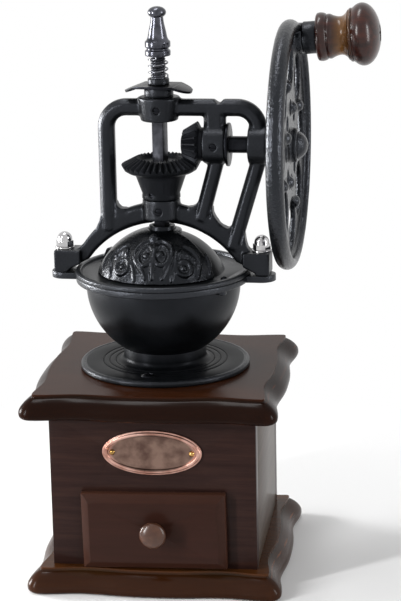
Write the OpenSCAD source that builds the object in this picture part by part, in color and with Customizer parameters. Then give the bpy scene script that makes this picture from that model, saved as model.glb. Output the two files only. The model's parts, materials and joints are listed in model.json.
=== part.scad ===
// Manual coffee grinder: an open bevel-gear mill on a wooden drawer box.
// Millimetres. +Z is up, +X points to the hand wheel and -Y to the drawer.
// The origin is the centre of the base plate's underside, straight below the spindle.

/* [Wooden case] */
// Width and depth of the two moulded plates
plate_w = 137; // [130:1:146]
// Thickness of the base plate
base_t = 13.5; // [12:0.5:18]
// Thickness of the top plate
top_t = 13.1; // [12:0.1:18]
// Radius of the plates' rounded corners
corner_r = 6.5; // [6:0.5:12]
// Depth of the waves along the plates' edges
wave_d = 2.5; // [0:0.25:4]
// Width of the moulding that slopes in from the plates' widest line
mould_w = 7; // [5:0.5:8]
// Sideways place of the top plate against the box
top_shift = -1; // [-2:0.5:2]
// Width and depth of the box between the plates
box_w = 110; // [104:1:116]
// Height of the box between the plates
box_h = 83.8; // [76:0.2:110]
// Thickness of the box's boards
board_t = 9; // [7:0.5:11]
// Radius of the hole that the grounds fall through
chute_r = 19; // [17:0.5:21]

/* [Drawer] */
// Width of the drawer's front panel
panel_w = 77; // [74:1:84]
// Height of the drawer's front panel
panel_h = 41.6; // [38:0.1:50]
// Thickness of the drawer's front panel
panel_t = 8; // [6:0.5:10]
// Width of the bevel round the front panel
bevel_w = 4.2; // [2:0.2:6]
// Depth of the bevel round the front panel
bevel_d = 3.4; // [1:0.2:4.5]
// Gap under the front panel
panel_gap = 1; // [0.8:0.1:3]
// Sideways place of the front panel
panel_x = 0.5; // [-1.5:0.1:1.5]
// Slight turn of the front panel, its left side down
panel_tilt = 0.9; // [0:0.1:0.9]
// Overlap of the front panel on the front board at each side and at the top
panel_lap = 4; // [3:0.5:6]
// Thickness of the drawer's sides and back
side_t = 5; // [3:0.5:7]
// Thickness of the drawer's floor
floor_t = 3; // [2:0.5:5]
// Height of the knob above the middle of the front panel
knob_up = 1.9; // [-4:0.1:6]
// Sideways place of the drawer's knob
knob_x = 1.6; // [-3:0.1:3]
// Radius of the drawer's knob
knob_r = 7.1; // [5.5:0.1:8.5]
// Distance that the drawer's knob stands out
knob_l = 11.5; // [11:0.5:20]

/* [Oval plate] */
// Width of the oval plate
oval_w = 53.2; // [40:0.1:60]
// Height of the oval plate
oval_h = 24.6; // [18:0.1:28]
// Thickness of the oval plate
oval_t = 1.2; // [0.8:0.1:2.5]
// Distance from the oval plate's middle up to the top plate
oval_drop = 19.4; // [15:0.1:22]
// Distance of the plate's pins from its two ends
pin_inset = 5.4; // [3.8:0.1:8]

/* [Bowl] */
// Turn of the iron mill on its box, counted from above
head_turn = -1.8; // [-3:0.1:3]
// Radius of the foot disc
foot_r = 46.2; // [43:0.1:52]
// Thickness of the foot disc
foot_t = 3.4; // [2.6:0.1:5]
// Distance of the foot screws from the axis
foot_screw_x = 34.8; // [32:0.1:39]
// Radius of the neck between foot and bowl
neck_r = 22.5; // [22:0.1:25]
// Outer radius of the bowl
bowl_r = 41.8; // [40:0.1:43.5]
// Wall thickness of the bowl
bowl_wall = 4; // [3:0.1:4.6]
// Height of the rim's underside above the foot's underside
rim_h = 48.6; // [46:0.2:54]
// Height of the bowl's straight top below the rim
bowl_top = 2; // [0.5:0.1:4]
// Distance that the rim stands out past the bowl
rim_over = 5.4; // [4.6:0.1:6]
// Thickness of the rim
rim_t = 3.5; // [2.6:0.1:5]
// Distance of the ear bolts from the rim's edge
bolt_out = 6.8; // [6.7:0.1:9]
// Width of the ears
ear_w = 15; // [13:0.5:18]
// Thickness of the ears
ear_t = 3.5; // [3.4:0.1:6]

/* [Dome] */
// Distance that the ring stands out past the rim
ring_over = 0.2; // [0:0.1:0.4]
// Height of the ring that covers the rim
ring_h = 2.7; // [2.4:0.1:4]
// Width of the ring's raised lip
lip_w = 3; // [2:0.1:4.4]
// Depth of the trough inside the lip
trough_d = 1.8; // [0.6:0.1:2]
// Distance from the bowl's outer radius in to the turning lid's
lid_in = 3.8; // [3.2:0.1:4.8]
// Wall thickness of the turning lid
lid_t = 1.6; // [1.2:0.1:2]
// Wall thickness of the fixed half of the dome
dome_t = 1.8; // [1.4:0.1:2.4]
// Depth of the dome's centre below the rim's underside
dome_drop = 9.5; // [8:0.1:11]

/* [Bridge] */
// Height of the drive shaft's axis above the foot's underside
shaft_h = 122.3; // [120:0.1:130]
// Height of the beam's middle above the shaft's axis
beam_up = 19.85; // [19:0.05:26]
// Width of the bridge's bars
bar_w = 9; // [7.5:0.1:10]
// Depth of the bridge's bars from front to back
bar_d = 9; // [7:0.5:12]
// Distance of the left leg's middle from the axis
leg_x = 28.9; // [27.5:0.1:31]
// Gap between the turning lid and the arch at the lid's foot
arch_gap = 8; // [7:0.1:9]
// Width of the arch from its inner to its outer edge
arch_w = 11; // [9:0.5:12]
// Radius of the upper collar at its top
collar_r = 11.2; // [10:0.1:12]
// Radius of the lower collar
low_collar_r = 10.2; // [9.6:0.1:11]
// Height of the upper collar
collar_h = 12.8; // [11:0.1:15]
// Height of the lower collar
low_collar_h = 11.4; // [10:0.1:12]
// Radius of the two shaft bearings
bearing_r = 10.2; // [9:0.1:11.5]
// Length of the inner bearing
bearing_l = 12.1; // [10:0.1:12.6]
// Length of the outer bearing
out_bearing_l = 10.2; // [8:0.1:12]
// Height of the bridge's ear blocks
block_h = 12.3; // [9:0.1:14]

/* [Gears and shafts] */
// Tooth size, as pitch diameter per tooth
gear_m = 1.15; // [1.05:0.01:1.18]
// Teeth of the large gear
gear_teeth = 36; // [34:1:36]
// Teeth of the pinion
pinion_teeth = 20; // [18:1:20]
// Length of the teeth
face_w = 9; // [7:0.1:9.5]
// Radius of the drive shaft
shaft_r = 4.5; // [4:0.1:5]
// Width across the flats of the square spindle
square_w = 6.2; // [5.8:0.1:6.4]
// Turn of the square spindle at rest
square_turn = 16; // [0:1:90]
// Radius of the spindle's threaded top
stud_r = 4; // [3.6:0.1:4.1]

/* [Burrs] */
// Height of the two burrs
burr_h = 13; // [11:0.5:14]
// Radius of the outer burr
burr_r = 18.8; // [18:0.1:19]
// Gap between the burrs at their narrow end
grind_gap = 0.9; // [0.8:0.1:1.5]
// Grooves of the inner burr
inner_grooves = 10; // [8:1:12]
// Grooves of the outer burr
outer_grooves = 16; // [12:1:18]

/* [Hand wheel] */
// Radius of the hand wheel
wheel_r = 66; // [64:0.5:72]
// Width of the wheel's rim
rim_w = 9.5; // [7:0.5:10]
// Thickness of the wheel's rim, from its outer to its inner edge
band_t = 6.5; // [5:0.5:8]
// Height of the round outer face of the wheel's rim
crown = 5; // [1:0.5:5]
// Gap between the ear's end and the wheel's rim, seen from the front
wheel_gap = 3.2; // [3.2:0.1:6]
// Thickness of the wheel's web
web_t = 3; // [2:0.5:5]
// Width of the wheel's spokes where they are narrowest
spoke_w = 4.4; // [3:0.1:6]
// Distance of the handle's bolt from the shaft's axis
handle_reach = 57.4; // [56:0.1:59]
// Angle of the handle's bolt at rest, from the rear over the top
handle_turn = 69.6; // [60:0.1:90]
// Upward tilt of the handle's free end
handle_tilt = 3.8; // [0:0.1:4]

/* [Wooden handle] */
// Length of the handle's knob
grip_l = 33.7; // [30:0.1:45]
// Radius of the handle's knob
grip_r = 16.6; // [13:0.1:20]
// Length of the spacer between wheel and knob
spacer_l = 7; // [5:0.5:14]
// Radius of the spacer
spacer_r = 8.6; // [5:0.1:9]
// Radius of the handle's bolt
grip_bolt_r = 2.5; // [2.2:0.1:3.2]

/* [Adjuster] */
// Height of the adjusting nut
nut_h = 4.9; // [4.2:0.1:6]
// Radius of the adjusting nut
nut_r = 7.8; // [7:0.1:9.5]
// Thickness of the lock plate
lock_t = 1.3; // [0.8:0.1:2]
// Length of the lock plate's flat middle
lock_mid = 19.9; // [18:0.1:22]
// Length of each bent flap of the lock plate
lock_flap = 9; // [6:0.5:9.5]
// Width of the lock plate from front to back
lock_w = 19; // [15:0.5:22]
// Downward bend of the lock plate's flaps
lock_bend = 20; // [10:1:24]
// Height of the spring seat
seat_h = 3.4; // [2.5:0.1:5]
// Height of the spring
spring_h = 12; // [10:0.5:16]
// Radius of the spring, to the middle of its wire
spring_r = 5; // [4.9:0.1:5.6]
// Thickness of the spring's wire
wire_d = 0.9; // [0.7:0.05:1]
// Turns of the spring
spring_turns = 2.75; // [2.5:0.25:4.5]
// Height of the finial
finial_h = 26; // [24:0.5:34]
// Radius of the finial's two rings
finial_r = 6.8; // [6.4:0.05:8]
// Radius of the button on the finial's top
button_r = 4.9; // [4:0.1:6]

/* [Hidden] */
$fn = 64;

// Clearances
FIT = 0.05;
RUN = 0.3;
CUT = 1;

// Case
deck_z = base_t + box_h + top_t;
board_in = box_w / 2 - board_t;
opening_w = panel_w - 2 * panel_lap;
opening_h = panel_h + panel_gap - panel_lap;
drawer_w = opening_w - 2 * RUN;
drawer_h = opening_h - 2 * RUN;
drawer_y = -box_w / 2;
drawer_l = box_w - board_t - 3;
guide_w = board_in - drawer_w / 2 - RUN;
panel_z = base_t + panel_gap;
knob_z = panel_z + panel_h / 2 + knob_up;
oval_z = base_t + box_h - oval_drop;
oval_y = -box_w / 2;
oval_rim_from = 0.8;
oval_rim_to = 3.2;
pin_x = oval_w / 2 - pin_inset;
pin_r = 0.9;
pin_l = 5.5;
pin_head_r = 1.7;
pin_head_sink = 0.5;
case_screw_r = 1.8;
case_screw_l = base_t + 14;
case_screw_head = 3.6;
case_screw_x = box_w / 2 - board_t / 2;
case_screw_y = box_w / 4;
knob_screw_r = 1.6;
knob_screw_head = 3.2;

// Moulding: share of its width and share of the plate's thickness, from the underside up
MOULD = [
    [0.45, 0], [0.18, 0.045], [0.04, 0.13], [0, 0.27], [0.06, 0.42], [0.24, 0.57],
    [0.47, 0.7], [0.71, 0.8], [0.86, 0.85], [0.98, 0.87], [1, 1]
];
SIDE_STEPS = 16;
CORNER_STEPS = 5;

// Bowl and dome
rim_z = deck_z + rim_h;
bowl_z = rim_h - bowl_top;
rim_r = bowl_r + rim_over;
ring_r = rim_r + ring_over;
lid_r = bowl_r - lid_in;
bolt_x = rim_r + bolt_out;
ring_z = rim_z + rim_t;
ring_top = ring_z + ring_h;
trough_z = ring_top - trough_d;
dome_z = rim_z - dome_drop;
dome_r = lid_r - lid_t - RUN;
ear_top = ring_z;
ear_end = bolt_x + 7.4;
ear_bolt_r = 2;
ear_washer_r = 5.2;
ear_washer_t = 0.9;
acorn_hex_r = 4.8;
acorn_hex_h = 3.2;
acorn_r = 4.1;
acorn_h = 4;
acorn_bore = 5.6;
foot_screw_r = 1.7;
foot_screw_head = 3.8;
foot_screw_rise = 1.5;
foot_screw_l = foot_t + top_t - 2;
FOOT_SCREWS = [-95.2, 84.8];
DOME_SCREWS = [-25.2, 154.8];
dome_screw_x = bowl_r - bowl_wall / 2;
dome_screw_r = 1.1;
dome_screw_head = 2.1;
dome_screw_rise = 1.3;
dome_screw_bite = rim_t + 2;
// Small bosses of the casting under the rim, for ejecting it from its mould
NUBS = [-34.2, 145.8];
nub_r = 2.4;
nub_h = 2.4;
nub_x = bowl_r + 1.4;
LID_FROM = 151.8;
lid_hub_r = 7;
// The dome and the lid are cut level just above the trough
dome_foot_r = sqrt(dome_r * dome_r - pow(trough_z - dome_z, 2));

// Bridge
shaft_z = deck_z + shaft_h;
beam_z = shaft_z + beam_up;
arch_r = lid_r + arch_gap;
arch_z = dome_z - 5.5;
arch_out = arch_r + arch_w;
arch_foot = 26;
// The arch gets thinner towards its feet: its edges' circles sit apart by these heights
arch_thin_out = 5.3;
arch_thin_in = 3.6;
low_collar_z = arch_z + arch_r + 2;
low_collar_top = low_collar_z + low_collar_h;
collar_z = beam_z - 0.55 * collar_h;
collar_top = collar_z + collar_h;
bearing_x = 23.8;
wheel_x = ear_end + wheel_gap;
out_bearing_x = wheel_x - 16.7;
out_leg_x = out_bearing_x + out_bearing_l / 2;
bend_r = 11;
bend_z = beam_z - bend_r;
block_in = 9.7;
block_out = 4.8;
block_top = ear_top + block_h;
notch_x = bearing_x + bearing_l / 2 + 2.4;
collar_screw_r = 1.8;

// Gears
pinion_cone = atan(pinion_teeth / gear_teeth);
gear_cone = 90 - pinion_cone;
pinion_pitch_r = gear_m * pinion_teeth / 2;
gear_pitch_r = gear_m * gear_teeth / 2;
cone_l = norm([pinion_pitch_r, gear_pitch_r]);
toe_l = cone_l - face_w;
tip_angle = atan(0.74 * gear_m / cone_l);
root_angle = atan(1.25 * gear_m / cone_l);
FLANK = 35.2;
journal_r = 4.4;
collar_bore = journal_r + FIT;
shaft_bore = shaft_r + FIT;
pinion_back = bearing_x - RUN;
washer_x = bearing_x + bearing_l + RUN;
washer_t = 1.4;
washer_r = 11.6;
shaft_end = out_bearing_x + out_bearing_l + RUN;
gear_hub_z = low_collar_top + RUN;
gear_screw_r = 1.4;

// Burrs and spindle
burr_top = deck_z + 1.6 + burr_h;
burr_bottom = burr_top - burr_h;
burr_mouth = 16.6;
burr_throat = 13.6;
inner_top_r = 8;
inner_bottom_r = burr_throat - grind_gap;
burr_nut_h = 5;
spindle_end = burr_bottom - burr_nut_h - 1.5;
journal_z = low_collar_z - 1.2;
journal_top = low_collar_top + 1;
thread_z = collar_top - 0.7;
nut_z = collar_top + RUN / 2;
lock_z = nut_z + nut_h;
seat_z = lock_z + lock_t;
spring_z = seat_z + seat_h;
seat_r = spring_r + wire_d / 2 + 0.3;
finial_z = spring_z + spring_h;
stud_top = finial_z + 11;
stud_bore = stud_r + FIT;
thread_pitch = 1.25;

// Wheel and handle
wheel_out = wheel_x + rim_w;
web_x = wheel_x + (rim_w - web_t) / 2 - 0.5;
hub_r = 9;
wheel_bore = 3.5;
wheel_nut_r = 7.8;
wheel_nut_sink = 2.6;
wheel_nut_bore = 3.6;
boss_r = 8.2;
boss_out = 1;
grip_x = wheel_out + boss_out + spacer_l + RUN;
grip_end = grip_x + grip_l;
grip_recess_r = 4.5;
grip_recess_l = 3.4;
grip_bolt_head_r = 3.9;
grip_bolt_head_h = 2.4;
grip_head_x = grip_end - grip_recess_l;
grip_y = handle_reach * cos(handle_turn);
grip_z = shaft_z + handle_reach * sin(handle_turn);
OPENINGS = 8;
boss_ball_r = 3.6;
boss_ball_reach = [20, 37];
small_hole_r = 4.2;
small_hole_reach = 20;
opening_reach = (wheel_r - band_t) * 0.73;
opening_r = opening_reach * sin(180 / OPENINGS) - spoke_w / 2;

// Spring: rings along the wound wire, with straight ends square to the seat and the finial
COIL_STEPS = 8;
WIRE_SIDES = 6;
coil_steps = round(spring_turns * COIL_STEPS);
coil_rise = spring_h - 2 * wire_d - wire_d;
coil_pitch = coil_rise / spring_turns;
echo(str("Spring: least gap to itself ", coil_pitch - wire_d, " mm, ", coil_steps, " steps"));

function arc(r, from, to, steps) =
    [for (i = [0:steps]) let (a = from + (to - from) * i / steps) [r * cos(a), r * sin(a)]];
function shifted(points, by) = [for (p = points) p + by];
function turned(p, a) = [p[0] * cos(a) - p[1] * sin(a), p[0] * sin(a) + p[1] * cos(a)];
function ellipse_points(w, h, steps) =
    [for (i = [0:steps - 1]) let (a = 360 * i / steps) [w / 2 * cos(a), h / 2 * sin(a)]];

// One ring of the moulded plate's outline, drawn in by inset. The middle of each side lies a little
// further in than its corners, so that no three points of the outline are in line.
MIDDLE_IN = 0.03;
function wave(s, reach) = let (share = abs(s) / reach)
    wave_d * pow(sin(180 * pow(share, 1.4)), 2) + MIDDLE_IN * (1 - share);
function outline(inset) =
    let (
        half = plate_w / 2 - inset,
        r = corner_r * (1 - 0.7 * inset / mould_w),
        c = half - r,
        side = [for (i = [0:SIDE_STEPS - 1]) let (s = -c + 2 * c * i / SIDE_STEPS) [s, wave(s, c) - half]],
        corner = [for (p = arc(r, -90, 0, CORNER_STEPS)) if (p[1] < -0.001) p + [c, -c]],
        quarter = concat(side, corner)
    )
    [for (k = [0:3], p = quarter) turned(p, 90 * k)];

module moulded_plate(height) {
    rings = [for (m = MOULD) [for (p = outline(m[0] * mould_w)) [p[0], p[1], m[1] * height]]];
    count = len(rings[0]);
    last = len(rings) - 1;
    polyhedron(
        points = [for (ring = rings, p = ring) p],
        faces = concat(
            [[for (i = [0:count - 1]) i]],
            [[for (i = [0:count - 1]) last * count + count - 1 - i]],
            [for (j = [0:last - 1], i = [0:count - 1])
                [j * count + i, (j + 1) * count + i, (j + 1) * count + (i + 1) % count,
                 j * count + (i + 1) % count]]
        )
    );
}

// Places children with their own z axis along +X, on the drive shaft's axis
module on_shaft(x) {
    translate([x, 0, shaft_z]) rotate([0, 90, 0]) children();
}

// Places children with their own z axis along +X, on the handle's axis
module on_handle(x) {
    translate([wheel_out, grip_y, grip_z]) rotate([0, 90 - handle_tilt, 0]) translate([0, 0, x - wheel_out])
        children();
}

module tube(height, outer, inner) {
    difference() {
        cylinder(h = height, r = outer);
        translate([0, 0, -CUT]) cylinder(h = height + 2 * CUT, r = inner);
    }
}

// Turns the iron mill on its box
module on_head() {
    rotate([0, 0, head_turn]) children();
}

// Places children at each angle, at a distance from the spindle's axis
module around(angles, distance) {
    for (a = angles) rotate([0, 0, a]) translate([distance, 0, 0]) children();
}

// A cross-slot cutter for a screw head
module cross_slot(size, depth) {
    for (a = [0, 90]) rotate([0, 0, a]) cube([size, size / 4, depth], center = true);
}

// Wood screw with its tip down: domed head above z = 0 and shank below
module dome_screw(head_r, head_h, shank_r, shank_l) {
    ball = (head_r * head_r + head_h * head_h) / (2 * head_h);
    difference() {
        union() {
            intersection() {
                translate([0, 0, head_h - ball]) sphere(r = ball);
                cylinder(h = head_h, r = head_r);
            }
            translate([0, 0, -shank_l]) cylinder(h = shank_l, r = shank_r);
        }
        translate([0, 0, head_h]) cross_slot(head_r * 1.3, head_h);
    }
}

// Wooden case

module case_screw_places() {
    for (x = [-case_screw_x, case_screw_x], y = [-case_screw_y, case_screw_y]) translate([x, y, 0]) children();
}

module base_plate() {
    color("#3a2418") difference() {
        moulded_plate(base_t);
        case_screw_places() {
            translate([0, 0, -CUT]) cylinder(h = base_t + 2 * CUT, r = case_screw_r + FIT);
            translate([0, 0, -CUT]) cylinder(h = case_screw_head + CUT, r = case_screw_head + FIT);
        }
    }
}

module base_screws() {
    color("#8a8478") case_screw_places() {
        cylinder(h = case_screw_l, r = case_screw_r);
        difference() {
            translate([0, 0, 0.6]) cylinder(h = case_screw_head - 0.6, r = case_screw_head);
            translate([0, 0, 0.6]) cross_slot(case_screw_head * 1.4, case_screw_head);
        }
    }
}

module front_board() {
    color("#32211a") translate([0, 0, base_t]) difference() {
        translate([-box_w / 2, -box_w / 2, 0]) cube([box_w, board_t, box_h]);
        translate([-opening_w / 2, -box_w / 2 - CUT, -CUT]) cube([opening_w, board_t + 2 * CUT, opening_h + CUT]);
        for (x = [-pin_x, pin_x]) translate([x, -box_w / 2 - CUT, oval_z - base_t])
            rotate([-90, 0, 0]) cylinder(h = pin_l + FIT + CUT, r = pin_r + FIT);
    }
}

module back_board() {
    color("#32211a") translate([-box_w / 2, box_w / 2 - board_t, base_t]) cube([box_w, board_t, box_h]);
}

module side_board(side) {
    color("#3b2a20") difference() {
        translate([side * (box_w - board_t) / 2, 0, base_t + box_h / 2])
            cube([board_t, 2 * board_in, box_h], center = true);
        case_screw_places() cylinder(h = case_screw_l + 0.5, r = case_screw_r + FIT);
    }
}

module left_board() {
    side_board(-1);
}

module right_board() {
    side_board(1);
}

module top_plate() {
    color("#3a2418") difference() {
        translate([top_shift, 0, base_t + box_h]) moulded_plate(top_t);
        translate([0, 0, base_t + box_h - CUT]) cylinder(h = top_t + 2 * CUT, r = chute_r);
        on_head() around(FOOT_SCREWS, foot_screw_x) translate([0, 0, base_t + box_h - CUT])
            cylinder(h = top_t + 2 * CUT, r = foot_screw_r + FIT);
    }
}

module drawer_guides() {
    color("#8b6a45") for (side = [-1, 1])
        translate([side * (board_in - guide_w / 2), 0, base_t + drawer_h / 4])
            cube([guide_w, 2 * board_in, drawer_h / 2], center = true);
}

module oval_plate() {
    color("#9a6850") translate([0, oval_y, oval_z]) rotate([90, 0, 0]) difference() {
        union() {
            linear_extrude(oval_t) polygon(ellipse_points(oval_w, oval_h, 72));
            linear_extrude(oval_t + 0.6) difference() {
                polygon(ellipse_points(oval_w - 2 * oval_rim_from, oval_h - 2 * oval_rim_from, 72));
                polygon(ellipse_points(oval_w - 2 * oval_rim_to, oval_h - 2 * oval_rim_to, 72));
            }
        }
        for (x = [-pin_x, pin_x]) translate([x, 0, -CUT]) cylinder(h = oval_t + 2 * CUT, r = pin_r + FIT);
    }
}

module oval_plate_pins() {
    color("#c9a24a") for (x = [-pin_x, pin_x]) translate([x, oval_y, oval_z]) rotate([90, 0, 0]) {
        translate([0, 0, -pin_l]) cylinder(h = pin_l + oval_t, r = pin_r);
        intersection() {
            translate([0, 0, oval_t - pin_head_sink]) sphere(r = pin_head_r);
            translate([0, 0, oval_t]) cylinder(h = pin_head_r, r = pin_head_r);
        }
    }
}

// Drawer

module drawer_front() {
    y_front = drawer_y - panel_t;
    color("#2f1d1a") translate([0, 0, panel_z]) difference() {
        panel_place() intersection() {
            linear_extrude(panel_h) polygon([
                [-panel_w / 2, drawer_y], [-panel_w / 2, y_front + bevel_d], [-panel_w / 2 + bevel_w, y_front],
                [panel_w / 2 - bevel_w, y_front], [panel_w / 2, y_front + bevel_d], [panel_w / 2, drawer_y]
            ]);
            rotate([90, 0, 90]) translate([0, 0, -panel_w / 2]) linear_extrude(panel_w) polygon([
                [drawer_y, 0], [y_front + bevel_d, 0], [y_front, bevel_w], [y_front, panel_h - bevel_w],
                [y_front + bevel_d, panel_h], [drawer_y, panel_h]
            ]);
        }
        translate([knob_x, drawer_y + CUT, knob_z - panel_z]) rotate([90, 0, 0])
            cylinder(h = panel_t + 2 * CUT, r = knob_screw_r + FIT);
    }
}

module panel_place() {
    translate([panel_x, 0, panel_h / 2]) rotate([0, -panel_tilt, 0]) translate([0, 0, -panel_h / 2]) children();
}

module drawer_side(side) {
    color("#a98a5e") translate([side * (drawer_w - side_t) / 2, drawer_y + drawer_l / 2, base_t + RUN + floor_t])
        translate([0, 0, (drawer_h - floor_t) / 2])
            cube([side_t, drawer_l, drawer_h - floor_t], center = true);
}

module drawer_left_side() {
    drawer_side(-1);
}

module drawer_right_side() {
    drawer_side(1);
}

module drawer_back() {
    color("#a98a5e") translate([side_t - drawer_w / 2, drawer_y + drawer_l - side_t, base_t + RUN + floor_t])
        cube([drawer_w - 2 * side_t, side_t, drawer_h - floor_t]);
}

module drawer_floor() {
    color("#b39668") translate([-drawer_w / 2, drawer_y, base_t + RUN]) cube([drawer_w, drawer_l, floor_t]);
}

module drawer_knob() {
    y_front = drawer_y - panel_t;
    cap = knob_r * 0.52;
    color("#6a4028") translate([knob_x, y_front, knob_z]) rotate([90, 0, 0]) difference() {
        rotate_extrude() polygon(concat(
            [[0, 0], [knob_r * 0.62, 0], [knob_r * 0.62, 0.9], [knob_r * 0.5, 2], [knob_r * 0.44, knob_l * 0.36],
             [knob_r * 0.56, knob_l * 0.46]],
            shifted([for (p = arc(1, -40, 90, 10)) [p[0] * knob_r, p[1] * cap]], [0, knob_l - cap])
        ));
        translate([0, 0, -CUT]) cylinder(h = knob_l * 0.6 + CUT, r = knob_screw_r + FIT);
    }
}

module drawer_knob_screw() {
    color("#b8b8b4") translate([knob_x, drawer_y, knob_z]) rotate([-90, 0, 0])
        dome_screw(knob_screw_head, knob_screw_head / 2, knob_screw_r, panel_t + knob_l * 0.55);
}

// Bowl casting

module bowl() {
    neck_top = sqrt(bowl_r * bowl_r - neck_r * neck_r);
    neck_angle = asin(neck_top / bowl_r);
    inner_r = bowl_r - bowl_wall;
    seat_r = burr_r + FIT;
    seat_angle = acos(seat_r / inner_r);
    flare = 3;
    profile = concat(
        [[burr_r - 1.8, 0], [foot_r - 0.6, 0], [foot_r, 0.6], [foot_r, foot_t - 1.4], [foot_r - 1.1, foot_t - 0.3],
         [foot_r - 2.4, foot_t]],
        shifted(arc(flare, 270, 180, 6), [neck_r + flare, foot_t + flare]),
        shifted(arc(bowl_r, -neck_angle, 0, 20), [0, bowl_z]),
        [[bowl_r, rim_h], [rim_r - 0.5, rim_h], [rim_r, rim_h + 0.5], [rim_r, rim_h + rim_t],
         [inner_r, rim_h + rim_t]],
        shifted(arc(inner_r, 0, -seat_angle, 20), [0, bowl_z]),
        [[seat_r, burr_bottom - deck_z], [burr_r - 1.8, burr_bottom - deck_z]]
    );
    color("#1c1d20") on_head() translate([0, 0, deck_z]) difference() {
        union() {
            rotate_extrude() polygon(profile);
            for (side = [-1, 1]) difference() {
                translate([0, 0, ear_top - deck_z - ear_t]) linear_extrude(ear_t) union() {
                    translate([side > 0 ? bowl_r - 1 : -(ear_end - ear_w * 0.3), -ear_w / 2])
                        square([ear_end - ear_w * 0.3 - bowl_r + 1, ear_w]);
                    translate([side * (ear_end - ear_w * 0.5), 0]) circle(d = ear_w);
                }
                cylinder(h = 100, r = bowl_r - 0.5);
            }
            around(NUBS, nub_x) translate([0, 0, rim_h - nub_h]) cylinder(h = nub_h + 0.5, r = nub_r);
        }
        around(FOOT_SCREWS, foot_screw_x) translate([0, 0, -CUT])
            cylinder(h = foot_t + 2 * CUT, r = foot_screw_r + FIT);
        for (side = [-1, 1]) translate([side * bolt_x, 0, rim_h - ear_t])
            cylinder(h = rim_t + 2 * ear_t, r = ear_bolt_r + FIT);
        around(DOME_SCREWS, dome_screw_x) translate([0, 0, rim_h + rim_t - dome_screw_bite - 0.5])
            cylinder(h = dome_screw_bite + CUT, r = dome_screw_r + FIT);
        for (k = [0:2]) translate([0, 0, foot_t - 0.35]) tube(CUT, neck_r + 4.8 + 3.4 * k, neck_r + 4.1 + 3.4 * k);
    }
}

module foot_screws() {
    color("#2a2b2e") on_head() translate([0, 0, deck_z + foot_t]) around(FOOT_SCREWS, foot_screw_x)
        dome_screw(foot_screw_head, foot_screw_rise, foot_screw_r, foot_screw_l);
}

module outer_burr() {
    groove_r = 1.3;
    color("#6c6d70") on_head() translate([0, 0, burr_bottom]) difference() {
        rotate_extrude() polygon([
            [burr_throat, 0], [burr_r, 0], [burr_r, burr_h - 1], [burr_mouth, burr_h - 0.4], [burr_mouth, burr_h - 1]
        ]);
        for (i = [0:outer_grooves - 1]) rotate([0, 0, 360 * i / outer_grooves])
            translate([burr_throat, 0, -CUT])
                rotate([18, atan((burr_mouth - burr_throat) / burr_h), 0])
                    linear_extrude(burr_h + 4) polygon([[-2, -groove_r], [1, 0], [-2, groove_r]]);
    }
}

// Dome: a ring on the rim, a fixed half shell and the hub that the lid turns on

module dome_ball(r) {
    translate([0, 0, dome_z]) sphere(r = r, $fn = 120);
}

// A sector of the space round the dome, over an angle and up from a height
module sector(from, angle, foot_z) {
    rotate([0, 0, from]) translate([0, 0, foot_z]) rotate_extrude(angle = angle) square([lid_r + 6, lid_r + 6]);
}

module dome() {
    hub_top = dome_z + lid_r + 0.9;
    inner_r = dome_r - dome_t;
    ledge = 1.3;
    open_r = sqrt(inner_r * inner_r - pow(ring_z - dome_z, 2)) - ledge;
    disc_z = dome_z + inner_r - 1.2;
    disc_top = dome_z + sqrt(dome_r * dome_r - pow(lid_hub_r + 3, 2)) - 0.2;
    color("#1c1d20") on_head() difference() {
        union() {
            translate([0, 0, ring_z]) rotate_extrude() polygon([
                [open_r, 0], [ring_r - 0.4, 0], [ring_r, 0.4], [ring_r, ring_h - 0.6], [ring_r - 0.7, ring_h],
                [ring_r - lip_w + 0.5, ring_h], [ring_r - lip_w, ring_h - 0.5], [ring_r - lip_w, ring_h - trough_d],
                [open_r, ring_h - trough_d]
            ]);
            difference() {
                intersection() {
                    dome_ball(dome_r);
                    sector(LID_FROM - 190, 200, trough_z - 0.6);
                }
                dome_ball(inner_r);
            }
            translate([0, 0, disc_z]) cylinder(h = disc_top - disc_z, r = lid_hub_r + 3);
            translate([0, 0, disc_z]) cylinder(h = hub_top - disc_z, r = lid_hub_r);
        }
        translate([0, 0, dome_z]) cylinder(h = lid_r + 10, r = journal_r + 0.8);
        around(DOME_SCREWS, dome_screw_x) translate([0, 0, ring_z - CUT])
            cylinder(h = ring_h + CUT, r = dome_screw_r + FIT);
    }
}

module turning_lid() {
    lug_z = dome_z + 0.5 * lid_r;
    color("#232428") on_head() difference() {
        union() {
            intersection() {
                dome_ball(lid_r);
                union() {
                    sector(LID_FROM, 180, trough_z + RUN);
                    translate([0, 0, dome_z]) cylinder(h = lid_r + 5, r = lid_hub_r + RUN + 3.4);
                }
            }
            intersection() {
                rotate([0, 0, LID_FROM + 5]) translate([lid_r * 0.82, -2.4, lug_z - 1]) cube([8.2, 4.8, 4.6]);
                dome_ball(lid_r + 4);
            }
        }
        dome_ball(lid_r - lid_t);
        translate([0, 0, dome_z]) cylinder(h = lid_r + 5, r = lid_hub_r + RUN);
    }
}

module dome_screws() {
    color("#2a2b2e") on_head() translate([0, 0, trough_z]) around(DOME_SCREWS, dome_screw_x)
        dome_screw(dome_screw_head, dome_screw_rise, dome_screw_r, ring_h - trough_d + dome_screw_bite);
}

// Bridge casting, drawn in the X-Z plane

function bar_section(w, d) = let (c = min(w, d) * 0.29) [
    [w / 2 - c, -d / 2], [w / 2, c - d / 2], [w / 2, d / 2 - c], [w / 2 - c, d / 2],
    [c - w / 2, d / 2], [-w / 2, d / 2 - c], [-w / 2, c - d / 2], [c - w / 2, -d / 2]
];

// A straight bar between two points of the X-Z plane
module bar(from, to, w) {
    run = to - from;
    translate([from[0], 0, from[1]]) rotate([0, 90 - atan2(run[1], run[0]), 0])
        linear_extrude(norm(run)) polygon(bar_section(w, bar_d));
}

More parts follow.
